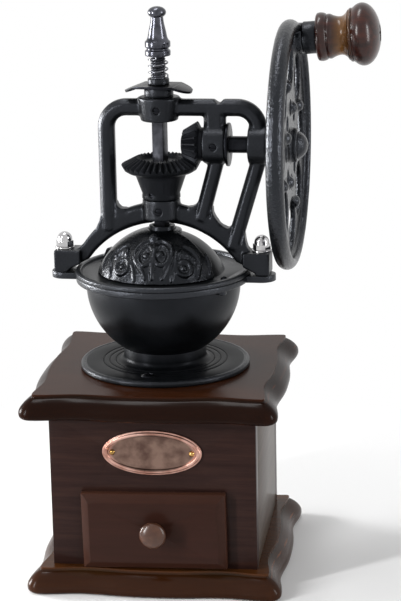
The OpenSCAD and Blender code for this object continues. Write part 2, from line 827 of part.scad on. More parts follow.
// An arc of bar in the X-Z plane
module bend(centre, r, from, angle, w, d) {
    translate([centre[0], 0, centre[1]]) rotate([90, 0, 0]) rotate([0, 0, from])
        rotate_extrude(angle = angle) polygon(shifted(bar_section(w, d), [r, 0]));
}

// A thick disc across the X-Z plane, above or below the arch's centre
module arch_disc(up, r) {
    translate([0, 0, arch_z + up]) rotate([90, 0, 0]) cylinder(h = 2 * bar_d, r = r, center = true, $fn = 120);
}

module bridge() {
    right_bend = out_leg_x - bend_r;
    arch_mid = arch_r + arch_w / 2;
    hanger_x = bearing_x + bearing_l / 2;
    color("#1e1f22") on_head() difference() {
        union() {
            difference() {
                intersection() {
                    bend([0, arch_z], arch_mid, arch_foot, 180 - 2 * arch_foot, arch_w, bar_d * 0.85);
                    arch_disc(arch_thin_out, arch_out - arch_thin_out);
                }
                arch_disc(-arch_thin_in, arch_r + arch_thin_in);
            }
            bar([-leg_x, arch_z + arch_r - 4], [-leg_x, bend_z], bar_w);
            bend([bend_r - leg_x, bend_z], bend_r, 90, 90, bar_w, bar_d);
            bar([bend_r - leg_x, beam_z], [right_bend, beam_z], bar_w);
            bend([right_bend, bend_z], bend_r, 0, 90, bar_w, bar_d);
            bar([out_leg_x, shaft_z + 6], [out_leg_x, bend_z], bar_w);
            bar([hanger_x, shaft_z + 6], [hanger_x, beam_z], bearing_l * 0.98);
            bar([0.745 * arch_mid, arch_z + 0.63 * arch_mid], [out_leg_x + 0.7, shaft_z - 6], bar_w * 0.9);
            bar([0.42 * arch_mid, arch_z + 0.93 * arch_mid], [hanger_x + 1.4, shaft_z - 6], bar_w * 0.9);
            translate([0, 0, low_collar_z]) cylinder(h = low_collar_h, r = low_collar_r);
            translate([0, 0, collar_z]) cylinder(h = collar_h, r1 = collar_r - 1.2, r2 = collar_r);
            on_shaft(bearing_x) cylinder(h = bearing_l, r = bearing_r);
            on_shaft(out_bearing_x) cylinder(h = out_bearing_l, r = bearing_r);
            for (side = [-1, 1])
                translate([side * (bolt_x + (block_out - block_in) / 2), 0, ear_top + block_h / 2])
                    cube([block_in + block_out, ear_w, block_h], center = true);
        }
        translate([0, 0, low_collar_z - 10]) cylinder(h = low_collar_h + 20, r = collar_bore);
        translate([0, 0, collar_z - CUT]) cylinder(h = collar_h + 2 * CUT, r = collar_bore);
        on_shaft(bearing_x - 5) cylinder(h = wheel_x - bearing_x, r = shaft_bore);
        for (side = [-1, 1]) {
            translate([side * bolt_x, 0, ear_top - CUT]) cylinder(h = block_h + 2 * CUT, r = ear_bolt_r + FIT);
            ring_clearance(side);
        }
        translate([notch_x, 0, beam_z + bar_w / 2 + 2]) rotate([0, 45, 0])
            cube([6.4, bar_d + CUT, 6.4], center = true);
        collar_screw_holes();
    }
}

// The space under an ear block's inner part, where the dome's ring passes
module ring_clearance(side) {
    inner_x = bolt_x - 15.7;
    outer_x = bolt_x - 2.7;
    translate([0, (ear_w + CUT) / 2, 0]) rotate([90, 0, 0]) linear_extrude(ear_w + CUT) polygon([
        for (p = [[inner_x, -CUT], [outer_x, -CUT], [outer_x, 1.3], [bolt_x - 12.8, 6.5], [inner_x, 6.5]])
            [side * p[0], ear_top + p[1]]
    ]);
}

// Radial holes at the front of both collars and of the inner bearing
module collar_screw_holes() {
    for (z = [collar_top - 0.5 * collar_h, low_collar_z + 0.45 * low_collar_h])
        translate([0, -journal_r, z]) rotate([90, 0, 0]) cylinder(h = collar_r, r = collar_screw_r + FIT);
    translate([bearing_x + bearing_l / 2, -shaft_r, shaft_z]) rotate([90, 0, 0])
        cylinder(h = bearing_r, r = collar_screw_r + FIT);
}

module collar_screws() {
    length = low_collar_r - journal_r - 1.1;
    color("#54565a") on_head() {
        for (z = [collar_top - 0.5 * collar_h, low_collar_z + 0.45 * low_collar_h])
            translate([0, -journal_r - 0.4, z]) rotate([90, 0, 0]) grub_screw(length);
        translate([bearing_x + bearing_l / 2, -shaft_r - 0.4, shaft_z]) rotate([90, 0, 0])
            grub_screw(bearing_r - shaft_r - 1);
    }
}

module grub_screw(length) {
    difference() {
        cylinder(h = length, r = collar_screw_r);
        translate([0, 0, length]) cube([2 * collar_screw_r + CUT, 0.9, 1.6], center = true);
    }
}

module ear_places() {
    for (side = [-1, 1]) translate([side * bolt_x, 0, 0]) children();
}

module ear_bolts() {
    bottom = ear_top - ear_t;
    color("#2a2b2e") on_head() ear_places() translate([0, 0, bottom])
        cylinder(h = ear_t + block_h + ear_washer_t + acorn_bore - 1, r = ear_bolt_r);
}

module ear_washers() {
    color("#c8c8c6") on_head() ear_places() translate([0, 0, block_top])
        tube(ear_washer_t, ear_washer_r, ear_bolt_r + FIT);
}

module acorn_nuts() {
    z = block_top + ear_washer_t;
    color("#d0d0d2") on_head() ear_places() translate([0, 0, z]) difference() {
        union() {
            cylinder(h = acorn_hex_h, r = acorn_hex_r, $fn = 6);
            cylinder(h = acorn_h, r = acorn_r);
            translate([0, 0, acorn_h]) sphere(r = acorn_r);
        }
        translate([0, 0, -CUT]) cylinder(h = acorn_bore + CUT, r = ear_bolt_r + FIT);
        translate([0, 0, -10]) cylinder(h = 10, r = 10);
    }
}

// Drive shaft, pinion and large gear

module drive_shaft() {
    start = cone_l * 0.5;
    color("#2b2c30") on_head() difference() {
        union() {
            on_shaft(start) cylinder(h = shaft_end - start, r = shaft_r);
            on_shaft(shaft_end - CUT)
                cylinder(h = wheel_out + wheel_nut_bore - 0.2 - shaft_end + CUT, r = wheel_bore);
        }
        translate([pinion_back - 1.2, 0, shaft_z - 20]) cylinder(h = 40, r = 0.8 + FIT);
    }
}

// V-shaped gaps of a bevel gear with its apex at the origin and its cone opening up
module tooth_gaps(count, cone, phase) {
    for (i = [0:count - 1]) rotate([0, 0, phase + 360 * i / count]) rotate([0, cone - root_angle, 0])
        translate([0, 0, toe_l - 3])
            linear_extrude(face_w + 8) polygon([[0, 0], [5, -5 * tan(FLANK)], [5, 5 * tan(FLANK)]]);
}

function on_cone(length, angle) = [length * sin(angle), length * cos(angle)];

module pinion() {
    tip = pinion_cone + tip_angle;
    color("#232427") on_head() on_shaft(0) difference() {
        rotate_extrude() polygon([
            [0, on_cone(toe_l, tip)[1]], on_cone(toe_l, tip), on_cone(cone_l, tip),
            on_cone(cone_l, tip) + 2.7 * [-cos(pinion_cone), sin(pinion_cone)],
            [pinion_pitch_r - 2.5, pinion_back - 1.6], [pinion_pitch_r - 2.5, pinion_back], [0, pinion_back]
        ]);
        tooth_gaps(pinion_teeth, pinion_cone, 0);
        cylinder(h = 50, r = shaft_r + FIT);
        translate([0, 0, pinion_back - 1.2]) rotate([0, 90, 0]) translate([0, 0, -20])
            cylinder(h = 40, r = 0.8 + FIT);
    }
}

module pinion_pin() {
    reach = pinion_pitch_r - 2.7;
    color("#7a7b7e") on_head() translate([pinion_back - 1.2, 0, shaft_z - reach]) cylinder(h = 2 * reach, r = 0.8);
}

module thrust_washer() {
    color("#2b2c30") on_head() on_shaft(washer_x) tube(washer_t, washer_r, shaft_r + FIT);
}

module bevel_gear() {
    tip = gear_cone + tip_angle;
    back = on_cone(cone_l, tip) + 3.4 * [-cos(gear_cone), sin(gear_cone)];
    length = shaft_z - gear_hub_z;
    color("#232427") on_head() translate([0, 0, shaft_z]) mirror([0, 0, 1]) difference() {
        rotate_extrude() polygon([
            [0, 9.6], [on_cone(toe_l, tip)[0] - 1.8, 9.6], on_cone(toe_l, tip), on_cone(cone_l, tip), back,
            [17.4, 15], [14.2, 15.8], [13.6, 16.6], [low_collar_r - 0.1, length - 2.4],
            [low_collar_r + 0.1, length - 1.6], [low_collar_r + 0.1, length], [0, length]
        ]);
        tooth_gaps(gear_teeth, gear_cone, 180 / gear_teeth);
        rotate([0, 0, -square_turn]) translate([0, 0, length / 2])
            cube([square_w + 2 * FIT, square_w + 2 * FIT, length + 2 * CUT], center = true);
        translate([0, 0, length - 2]) cylinder(h = 3, r = journal_r + 2 * FIT);
        gear_screw_place(length) translate([0, 0, -CUT]) cylinder(h = 20, r = gear_screw_r + FIT);
    }
}

module gear_screw_place(length) {
    translate([0, 0, length - 2.6]) rotate([0, 0, -112]) rotate([0, 90, 0]) translate([0, 0, square_w / 2 + 1.6])
        children();
}

module gear_screw() {
    length = shaft_z - gear_hub_z;
    reach = low_collar_r - 0.1 - square_w / 2 - 1.8;
    color("#54565a") on_head() translate([0, 0, shaft_z]) mirror([0, 0, 1]) gear_screw_place(length) difference() {
        cylinder(h = reach, r = gear_screw_r);
        translate([0, 0, reach]) cube([0.7, 5, 1.4], center = true);
    }
}

// Spindle and burrs

module square_bar(z, height) {
    translate([0, 0, z]) rotate([0, 0, -square_turn]) translate([-square_w / 2, -square_w / 2, 0])
        cube([square_w, square_w, height]);
}

module spindle() {
    ridges = floor((stud_top - thread_z) / thread_pitch);
    ridge_r = stud_r - 0.45;
    color("#9a9b9e") on_head() union() {
        translate([0, 0, spindle_end]) cylinder(h = burr_bottom - spindle_end, r = square_w / 2);
        square_bar(burr_bottom, journal_z + 0.01 - burr_bottom);
        translate([0, 0, journal_z]) cylinder(h = journal_top - journal_z, r = journal_r);
        square_bar(journal_top - 0.01, collar_z + 1 - journal_top);
        translate([0, 0, collar_z + 0.9]) cylinder(h = thread_z - collar_z - 0.9, r = journal_r);
        translate([0, 0, thread_z]) rotate_extrude() polygon(concat(
            [[0, ridges * thread_pitch], [0, 0]],
            [for (i = [0:ridges - 1], p = [[ridge_r, 0], [stud_r, thread_pitch * 0.4], [stud_r, thread_pitch * 0.6]])
                p + [0, i * thread_pitch]],
            [[ridge_r, ridges * thread_pitch]]
        ));
    }
}

module inner_burr() {
    color("#6c6d70") on_head() translate([0, 0, burr_bottom]) difference() {
        rotate_extrude() polygon([
            [0, 0], [inner_bottom_r, 0], [inner_bottom_r, 2], [inner_top_r, burr_h + 3], [0, burr_h + 3]
        ]);
        for (i = [0:inner_grooves - 1]) rotate([0, 0, 360 * i / inner_grooves])
            translate([inner_bottom_r + 1.2, -4, -CUT]) rotate([-28, -16, 0])
                linear_extrude(burr_h + 10) polygon([[2, -1.8], [-3, 0], [2, 1.8]]);
        square_bar_hole();
    }
}

module square_bar_hole() {
    rotate([0, 0, -square_turn]) cube([square_w + 2 * FIT, square_w + 2 * FIT, 4 * burr_h], center = true);
}

module burr_nut() {
    color("#7a7b7e") on_head() translate([0, 0, burr_bottom - burr_nut_h]) difference() {
        cylinder(h = burr_nut_h, r = 6.6, $fn = 6);
        translate([0, 0, -CUT]) cylinder(h = burr_nut_h + 2 * CUT, r = square_w / 2 + FIT);
    }
}

// Hand wheel

// Places children on the wheel's web, in a direction counted from the handle's
module on_web(turn, distance, x) {
    on_shaft(x) rotate([0, 0, 90 + handle_turn + turn]) translate([distance, 0, 0]) children();
}

module hand_wheel() {
    inner = wheel_r - band_t;
    step = 360 / OPENINGS;
    color("#1f2024") on_head() difference() {
        union() {
            on_shaft(wheel_x) rotate_extrude() polygon(concat(
                [[inner, 1.2], [inner + 1.2, 0]],
                [for (a = [0:20:180]) [wheel_r - crown + crown * sin(a), rim_w / 2 * (1 - cos(a))]],
                [[inner + 1.2, rim_w], [inner, rim_w - 1.2]]
            ));
            on_shaft(shaft_end) cylinder(h = wheel_out - shaft_end, r = hub_r);
            on_shaft(web_x) cylinder(h = web_t, r = inner + 0.8);
            for (i = [0:OPENINGS - 1])
                on_web(step * i, boss_ball_reach[i % 2], web_x + web_t - 0.8)
                    sphere(r = boss_ball_r);
            on_handle(wheel_x - 1) cylinder(h = rim_w + 1 + boss_out, r = boss_r);
        }
        for (i = [0:OPENINGS - 1]) {
            on_web(step * (i + 0.5), opening_reach, web_x - 10) cylinder(h = 20, r = opening_r);
            on_web(step * (i + 0.5), small_hole_reach, web_x - 10) cylinder(h = 20, r = small_hole_r);
        }
        on_shaft(0) cylinder(h = wheel_out + 20, r = wheel_bore + FIT);
        on_handle(wheel_x - 10) cylinder(h = 30, r = grip_bolt_r + FIT);
    }
}

module wheel_nut() {
    color("#26272b") on_head() on_shaft(wheel_out) difference() {
        intersection() {
            translate([0, 0, -wheel_nut_sink]) sphere(r = wheel_nut_r);
            cylinder(h = wheel_nut_r, r = wheel_nut_r);
        }
        translate([0, 0, -CUT]) cylinder(h = wheel_nut_bore + CUT, r = wheel_bore + FIT);
    }
}

// Wooden handle

module handle_bolt() {
    start = wheel_x - 1.2;
    color("#3a3b3f") on_head() {
        on_handle(start) cylinder(h = grip_head_x + RUN - start, r = grip_bolt_r);
        on_handle(grip_head_x + RUN) difference() {
            cylinder(h = grip_bolt_head_h, r = grip_bolt_head_r);
            translate([0, 0, grip_bolt_head_h]) cube([1.2, 20, 1.6], center = true);
        }
    }
}

module handle_spacer() {
    color("#1f2024") on_head() on_handle(wheel_out + boss_out) tube(spacer_l, spacer_r, grip_bolt_r + FIT);
}

// The handle's knob, as shares of its radius and length, up to where its round head starts
KNOB = [
    [0, 0], [0.7, 0], [0.755, 0.025], [0.77, 0.07], [0.745, 0.125], [0.717, 0.16], [0.705, 0.22], [0.64, 0.29],
    [0.612, 0.375], [0.655, 0.43], [0.79, 0.495], [0.845, 0.527], [0.863, 0.556]
];

module handle_knob() {
    head_from = 0.72;
    color("#5a2a1c") on_head() on_handle(grip_x) difference() {
        rotate_extrude() polygon(concat(
            [for (p = KNOB) [p[0] * grip_r, p[1] * grip_l]],
            [for (p = arc(1, -28, 73, 12)) [p[0] * grip_r, (head_from + (1 - head_from) * p[1]) * grip_l]],
            [[0, (head_from + (1 - head_from) * sin(73)) * grip_l]]
        ));
        translate([0, 0, -CUT]) cylinder(h = grip_l + 2 * CUT, r = grip_bolt_r + 0.08);
        translate([0, 0, grip_l - grip_recess_l]) cylinder(h = 10, r = grip_recess_r);
    }
}

// Grind adjuster

module adjusting_nut() {
    color("#1d1e21") on_head() translate([0, 0, nut_z]) tube(nut_h - RUN / 2, nut_r, stud_bore);
}

module lock_plate() {
    turn = -6;
    flap_r = lock_w / 2;
    color("#3a3b3f") on_head() translate([0, 0, lock_z]) rotate([0, 0, turn]) difference() {
        union() {
            translate([-lock_mid / 2, -lock_w / 2, 0]) cube([lock_mid, lock_w, lock_t]);
            for (side = [-1, 1]) translate([side * lock_mid / 2, 0, lock_t])
                rotate([0, side * lock_bend, 0]) translate([0, 0, -lock_t]) linear_extrude(lock_t) intersection() {
                    translate([side * (lock_flap - flap_r), 0]) circle(r = flap_r);
                    translate([side > 0 ? 0 : -lock_flap, -flap_r]) square([lock_flap, 2 * flap_r]);
                }
        }
        translate([0, 0, -CUT]) cylinder(h = lock_t + 2 * CUT, r = stud_r + RUN);
    }
}

module spring_seat() {
    bore = stud_r + RUN;
    color("#2c2d31") on_head() translate([0, 0, seat_z]) rotate_extrude() polygon([
        [bore, 0], [seat_r - 0.3, 0], [seat_r, 0.5], [seat_r, seat_h - 0.8], [seat_r - 0.2, seat_h],
        [bore, seat_h]
    ]);
}

// Wire through the points of a helix, with a straight run of one wire thickness at each end
module spring() {
    low = wire_d;
    path = concat(
        [[spring_r, 0, 0]],
        [for (i = [0:coil_steps]) let (a = 360 * i / COIL_STEPS)
            [spring_r * cos(a), spring_r * sin(a), low + wire_d / 2 + coil_rise * i / coil_steps]],
        [[spring_r * cos(360 * spring_turns), spring_r * sin(360 * spring_turns), spring_h]]
    );
    last = len(path) - 1;
    rings = [for (i = [0:last]) let (
            p = path[i],
            ahead = i == 0 || i == last ? [0, 0, 1] : path[i + 1] - path[i - 1],
            t = ahead / norm(ahead),
            out = [p[0], p[1], 0] / norm([p[0], p[1]]),
            side = cross(t, out) / norm(cross(t, out)),
            up = cross(side, t)
        )
        for (k = [0:WIRE_SIDES - 1]) let (a = 360 * k / WIRE_SIDES)
            p + wire_d / 2 * (cos(a) * up + sin(a) * side)
    ];
    color("#b9bbbf") on_head() translate([0, 0, spring_z]) polyhedron(
        points = rings,
        faces = concat(
            [[for (k = [0:WIRE_SIDES - 1]) k]],
            [[for (k = [0:WIRE_SIDES - 1]) last * WIRE_SIDES + WIRE_SIDES - 1 - k]],
            [for (j = [0:last - 1], k = [0:WIRE_SIDES - 1]) let (
                    a = j * WIRE_SIDES + k,
                    b = j * WIRE_SIDES + (k + 1) % WIRE_SIDES,
                    c = a + WIRE_SIDES,
                    d = b + WIRE_SIDES
                )
                for (face = [[a, c, b], [b, c, d]]) face]
        )
    );
}

module finial() {
    button_h = 3.2;
    neck_z = finial_h - 6.4;
    color("#c9cacd") on_head() translate([0, 0, finial_z]) difference() {
        rotate_extrude() polygon(concat(
            [[0, 0], [finial_r - 0.7, 0], [finial_r, 0.7], [finial_r, 2.5], [finial_r - 0.85, 3.3],
             [finial_r - 0.85, 4.1], [finial_r, 4.8], [finial_r, 7.2], [finial_r - 0.5, 7.8],
             [finial_r - 1.5, 9.8], [3.5, neck_z - 0.6], [3.4, neck_z]],
            shifted([for (p = arc(1, -48, 90, 14)) [p[0] * button_r, p[1] * button_h]],
                    [0, finial_h - button_h])
        ));
        translate([0, 0, -CUT]) cylinder(h = stud_top - finial_z + CUT, r = stud_bore);
    }
}

base_plate();
front_board();
back_board();
left_board();
right_board();
top_plate();
drawer_guides();
base_screws();
oval_plate();
oval_plate_pins();
drawer_front();
drawer_left_side();
drawer_right_side();
drawer_back();
drawer_floor();
drawer_knob();
drawer_knob_screw();
bowl();
foot_screws();
outer_burr();
dome();
turning_lid();
dome_screws();
bridge();
ear_bolts();
ear_washers();
acorn_nuts();
collar_screws();
drive_shaft();
pinion();
pinion_pin();
thrust_washer();
hand_wheel();
wheel_nut();
handle_bolt();
handle_spacer();
handle_knob();
bevel_gear();
gear_screw();
spindle();
inner_burr();
burr_nut();
adjusting_nut();
lock_plate();
spring_seat();
spring();
finial();
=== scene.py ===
"""Manual coffee grinder: looks of an open bevel-gear mill on a wooden drawer box."""
import json
import logging
import math
from dataclasses import dataclass
from enum import Enum
from typing import Callable, Iterable, Optional, Sequence

import bmesh
import bpy
from bmesh.types import BMesh
from mathutils import Matrix, Vector


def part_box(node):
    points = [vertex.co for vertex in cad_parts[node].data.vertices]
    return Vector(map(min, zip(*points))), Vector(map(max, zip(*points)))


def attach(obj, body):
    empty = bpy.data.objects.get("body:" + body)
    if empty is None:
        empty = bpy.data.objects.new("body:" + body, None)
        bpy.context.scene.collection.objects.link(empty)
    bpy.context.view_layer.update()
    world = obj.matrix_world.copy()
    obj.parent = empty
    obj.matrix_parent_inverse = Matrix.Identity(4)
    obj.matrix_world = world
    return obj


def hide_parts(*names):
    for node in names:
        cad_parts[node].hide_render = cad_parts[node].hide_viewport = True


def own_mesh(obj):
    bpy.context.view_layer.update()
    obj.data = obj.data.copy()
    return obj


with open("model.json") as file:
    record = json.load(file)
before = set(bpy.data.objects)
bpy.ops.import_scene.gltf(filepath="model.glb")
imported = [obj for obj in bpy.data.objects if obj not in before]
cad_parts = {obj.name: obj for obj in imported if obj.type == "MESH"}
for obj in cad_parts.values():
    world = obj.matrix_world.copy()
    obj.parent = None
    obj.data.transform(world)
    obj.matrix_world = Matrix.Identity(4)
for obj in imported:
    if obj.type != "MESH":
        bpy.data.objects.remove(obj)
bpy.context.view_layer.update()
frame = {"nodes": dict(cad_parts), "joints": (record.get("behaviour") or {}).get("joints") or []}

MM = 0.001
MERGE = 1e-6

JOINTS = {row["name"]: row for row in frame["joints"]}
CRANK_AXIS = Vector(JOINTS["crank_turn"]["axis"])
HEAD = Matrix.Rotation(math.atan2(CRANK_AXIS.y, CRANK_AXIS.x), 4, "Z")

log = logging.getLogger("grinder")
Outline = Sequence[tuple[float, float]]


class Axis(Enum):
    """A direction that a grain, a brush mark or a turned piece runs along."""

    X = 0
    Y = 1
    Z = 2


def linear(hex_colour: str) -> tuple[float, float, float, float]:
    """Turns an sRGB hex colour into linear red, green, blue and alpha.

    Args:
        hex_colour: Six hex digits after a hash sign.

    Returns:
        The linear colour with full alpha.
    """
    shares = [int(hex_colour[i:i + 2], 16) / 255 for i in (1, 3, 5)]
    red, green, blue = (c / 12.92 if c <= 0.04045 else ((c + 0.055) / 1.055) ** 2.4 for c in shares)
    return red, green, blue, 1.0


# Shapes


def rounded(outline: Outline, radius: float, steps: int = 3) -> list[tuple[float, float]]:
    """Rounds the inner corners of an open outline.

    Args:
        outline: Points in millimetres.
        radius: How far from each corner the rounding starts.
        steps: Pieces of each rounded corner.

    Returns:
        The outline with a short curve at each corner.
    """
    points = [Vector(point) for point in outline]
    result = [points[0]]
    for before, corner, after in zip(points, points[1:], points[2:]):
        back, ahead = before - corner, after - corner
        start = corner + back.normalized() * min(radius, back.length * 0.45)
        end = corner + ahead.normalized() * min(radius, ahead.length * 0.45)
        for i in range(steps + 1):
            t = i / steps
            result.append(start * (1 - t) ** 2 + corner * 2 * t * (1 - t) + end * t * t)
    result.append(points[-1])
    return [(point[0], point[1]) for point in result]


def flowing(points: Sequence[Sequence[float]], steps: int) -> list[Vector]:
    """A smooth path through points.

    Args:
        points: Points that the path goes through.
        steps: Pieces between two neighbouring points.

    Returns:
        The points of the path, the given ones among them.
    """
    known = [Vector(point) for point in points]
    ends = [2 * known[0] - known[1], *known, 2 * known[-1] - known[-2]]
    path = []
    for a, b, c, d in zip(ends, ends[1:], ends[2:], ends[3:]):
        for i in range(steps):
            t = i / steps
            path.append(0.5 * (2 * b + (c - a) * t + (2 * a - 5 * b + 4 * c - d) * t * t
                               + (3 * b - 3 * c + d - a) * t ** 3))
    path.append(known[-1])
    return path


def arc(radius: float, start: float, end: float, steps: int, centre: tuple[float, float] = (0, 0)) -> Outline:
    """Points on an arc, from one angle in degrees to another."""
    angles = [math.radians(start + (end - start) * i / steps) for i in range(steps + 1)]
    return [(centre[0] + radius * math.cos(a), centre[1] + radius * math.sin(a)) for a in angles]


def tidy(shape: BMesh) -> BMesh:
    """Merges doubled points and turns all faces outwards."""
    bmesh.ops.remove_doubles(shape, verts=shape.verts, dist=MERGE)
    bmesh.ops.dissolve_degenerate(shape, edges=shape.edges, dist=MERGE)
    bmesh.ops.recalc_face_normals(shape, faces=shape.faces)
    return shape


def spun(outline: Outline, steps: int = 96, closed: bool = False) -> BMesh:
    """Turns an outline round the Z axis.

    Args:
        outline: Pairs of radius and height in millimetres.
        steps: Pieces of the full turn.
        closed: Whether the last point joins the first one.

    Returns:
        The turned shape, standing on the Z axis.
    """
    shape = bmesh.new()
    verts = [shape.verts.new((radius * MM, 0, height * MM)) for radius, height in outline]
    ends = verts[1:] + verts[:1] if closed else verts[1:]
    edges = [shape.edges.new(pair) for pair in zip(verts, ends)]
    bmesh.ops.spin(shape, geom=verts + edges, cent=(0, 0, 0), axis=(0, 0, 1), angle=2 * math.pi, steps=steps,
                   use_merge=True)
    return tidy(shape)


def draped(place: Callable[[float, float], Vector], across: int, along: int) -> BMesh:
    """A sheet of faces whose corners a formula places.

    Args:
        place: Gives a point in millimetres from two shares, each from 0 to 1.
        across: Faces in the first direction.
        along: Faces in the second direction.

    Returns:
        The sheet, closed wherever its edges meet, with its open ends filled.
    """
    shape = bmesh.new()
    bmesh.ops.create_grid(shape, x_segments=across, y_segments=along, size=1)
    for vert in shape.verts:
        vert.co = place((vert.co.x + 1) / 2, (vert.co.y + 1) / 2) * MM
    bmesh.ops.remove_doubles(shape, verts=shape.verts, dist=MERGE)
    bmesh.ops.holes_fill(shape, edges=[edge for edge in shape.edges if edge.is_boundary], sides=0)
    return tidy(shape)


def rod(path: Sequence[Vector], radius: float, sides: int = 10, taper: bool = False) -> BMesh:
    """A round rod along a path, in millimetres.

    Args:
        path: Points of the rod's middle line.
        radius: Radius of the rod.
        sides: Faces round the rod.
        taper: Whether the rod thins out to its two ends.

    Returns:
        The rod with closed ends.
    """
    last = len(path) - 1
    steps = [(path[min(i + 1, last)] - path[max(i - 1, 0)]).normalized() for i in range(last + 1)]
    side = steps[0].orthogonal().normalized()
    sides_of = []
    for step in steps:
        side = (side - step * side.dot(step)).normalized()
        sides_of.append((side, step.cross(side)))

    def place(u: float, v: float) -> Vector:
        """A point of the rod's skin."""
        i = round(v * last)
        angle = 2 * math.pi * u
        thin = math.sin(math.pi * (0.08 + 0.84 * v)) ** 0.5 if taper else 1
        out, up = sides_of[i]
        return path[i] + (out * math.cos(angle) + up * math.sin(angle)) * radius * thin

    return draped(place, sides, last)


def ball(centre: Vector, radius: float, flat: float = 1.0) -> BMesh:
    """A ball in millimetres, flattened along the line from the Z axis' side if flat is below 1."""
    shape = bmesh.new()
    bmesh.ops.create_icosphere(shape, subdivisions=3, radius=radius * MM)
    bmesh.ops.scale(shape, vec=(1, 1, flat), verts=shape.verts)
    bmesh.ops.translate(shape, vec=centre * MM, verts=shape.verts)
    return shape


def disc(radius: float, low: float, high: float, round_off: float, sides: int = 64) -> BMesh:
    """A short cylinder on the Z axis with rounded edges, in millimetres."""
    outline = rounded([(0, low), (radius, low), (radius, high), (0, high)], round_off)
    return spun(outline, steps=sides)


def joined(shapes: Iterable[BMesh]) -> BMesh:
    """Puts several shapes into the first one of them."""
    first, *others = shapes
    for other in others:
        carrier = bpy.data.meshes.new("carrier")
        other.to_mesh(carrier)
        other.free()
        first.from_mesh(carrier)
        bpy.data.meshes.remove(carrier)
    return first


def placed(shape: BMesh, matrix: Matrix) -> BMesh:
    """Moves a shape by a matrix that is in metres."""
    bmesh.ops.transform(shape, matrix=matrix, verts=shape.verts)
    return shape


def node_copy(*nodes: str) -> BMesh:
    """A copy of CAD nodes, with their loose triangles merged and flat areas made whole."""
    shape = bmesh.new()
    for node in nodes:
        shape.from_mesh(frame["nodes"][node].data)
    bmesh.ops.remove_doubles(shape, verts=shape.verts, dist=MERGE)
    bmesh.ops.dissolve_limit(shape, angle_limit=math.radians(0.4), verts=shape.verts, edges=shape.edges)
    return shape


def softened(shape: BMesh, width: float, segments: int = 2, angle: float = 30) -> BMesh:
    """Bevels the sharp edges of a shape.

    Args:
        shape: The shape.
        width: Width of the bevel in millimetres.
        segments: Faces across the bevel.
        angle: Edges that turn by more than this many degrees are bevelled.

    Returns:
        The same shape.
    """
    limit = math.radians(angle)
    sharp = [edge for edge in shape.edges if len(edge.link_faces) == 2 and edge.calc_face_angle() > limit]
    bmesh.ops.bevel(shape, geom=sharp, offset=width * MM, offset_type="OFFSET", segments=segments, profile=0.5,
                    affect="EDGES", material=-1, clamp_overlap=True)
    return shape


def cast(shape: BMesh, voxel: float, relax: int) -> BMesh:
    """Makes one skin of overlapping solids, with the soft corners of a casting.

    Args:
        shape: Closed solids that may overlap.
        voxel: Size of the new faces in millimetres.
        relax: How many times the skin is smoothed.

    Returns:
        The skin as a new shape.
    """
    mesh = bpy.data.meshes.new("mould")
    shape.to_mesh(mesh)
    shape.free()
    mould = bpy.data.objects.new("mould", mesh)
    bpy.context.scene.collection.objects.link(mould)
    skin = mould.modifiers.new("skin", "REMESH")
    skin.mode = "VOXEL"
    skin.voxel_size = voxel * MM
    made = bpy.data.meshes.new_from_object(mould.evaluated_get(bpy.context.evaluated_depsgraph_get()))
    result = bmesh.new()
    result.from_mesh(made)
    bpy.data.objects.remove(mould)
    bpy.data.meshes.remove(mesh)
    bpy.data.meshes.remove(made)
    for _ in range(relax):
        bmesh.ops.smooth_vert(result, verts=result.verts, factor=0.5, use_axis_x=True, use_axis_y=True,
                              use_axis_z=True)
    return result


# Finishes


def add_node(tree: bpy.types.NodeTree, kind: str, values: Optional[dict] = None, links: Optional[dict] = None,
             stops: Sequence[tuple[float, str]] = (), **settings: object) -> bpy.types.Node:
    """Adds a shader node.

    Args:
        tree: The material's or world's node tree.
        kind: The node's type.
        values: Input names or numbers with their values.
        links: Input names or numbers with the sockets that feed them.
        stops: Places and hex colours of a colour ramp.
        settings: The node's own settings.

    Returns:
        The new node.
    """
    node = tree.nodes.new(kind)
    for name, setting in settings.items():
        setattr(node, name, setting)
    for name, value in (values or {}).items():
        node.inputs[name].default_value = value
    for name, socket in (links or {}).items():
        tree.links.new(socket, node.inputs[name])
    for i, (place, colour) in enumerate(stops):
        elements = node.color_ramp.elements
        element = elements[i] if i < len(elements) else elements.new(place)
        element.position = place
        element.color = linear(colour)
    return node


@dataclass(frozen=True)
class Finish:
    """A surface finish, made into one material that all its pieces share."""

    name: str

    def material(self) -> bpy.types.Material:
        """The material of this finish, made on first use."""
        known = bpy.data.materials.get(self.name)
        if known:
            return known
        made = bpy.data.materials.new(self.name)
        made.use_nodes = True
        tree = made.node_tree
        shader = tree.nodes["Principled BSDF"]
        place = add_node(tree, "ShaderNodeTexCoord").outputs["Object"]
        self.dress(tree, shader, place)
        return made

    def dress(self, tree: bpy.types.NodeTree, shader: bpy.types.Node, place: bpy.types.NodeSocket) -> None:
        """Adds the finish's own nodes.

        Args:
            tree: The material's node tree.
            shader: The surface shader.
            place: The object coordinates, in metres.
        """
        raise NotImplementedError


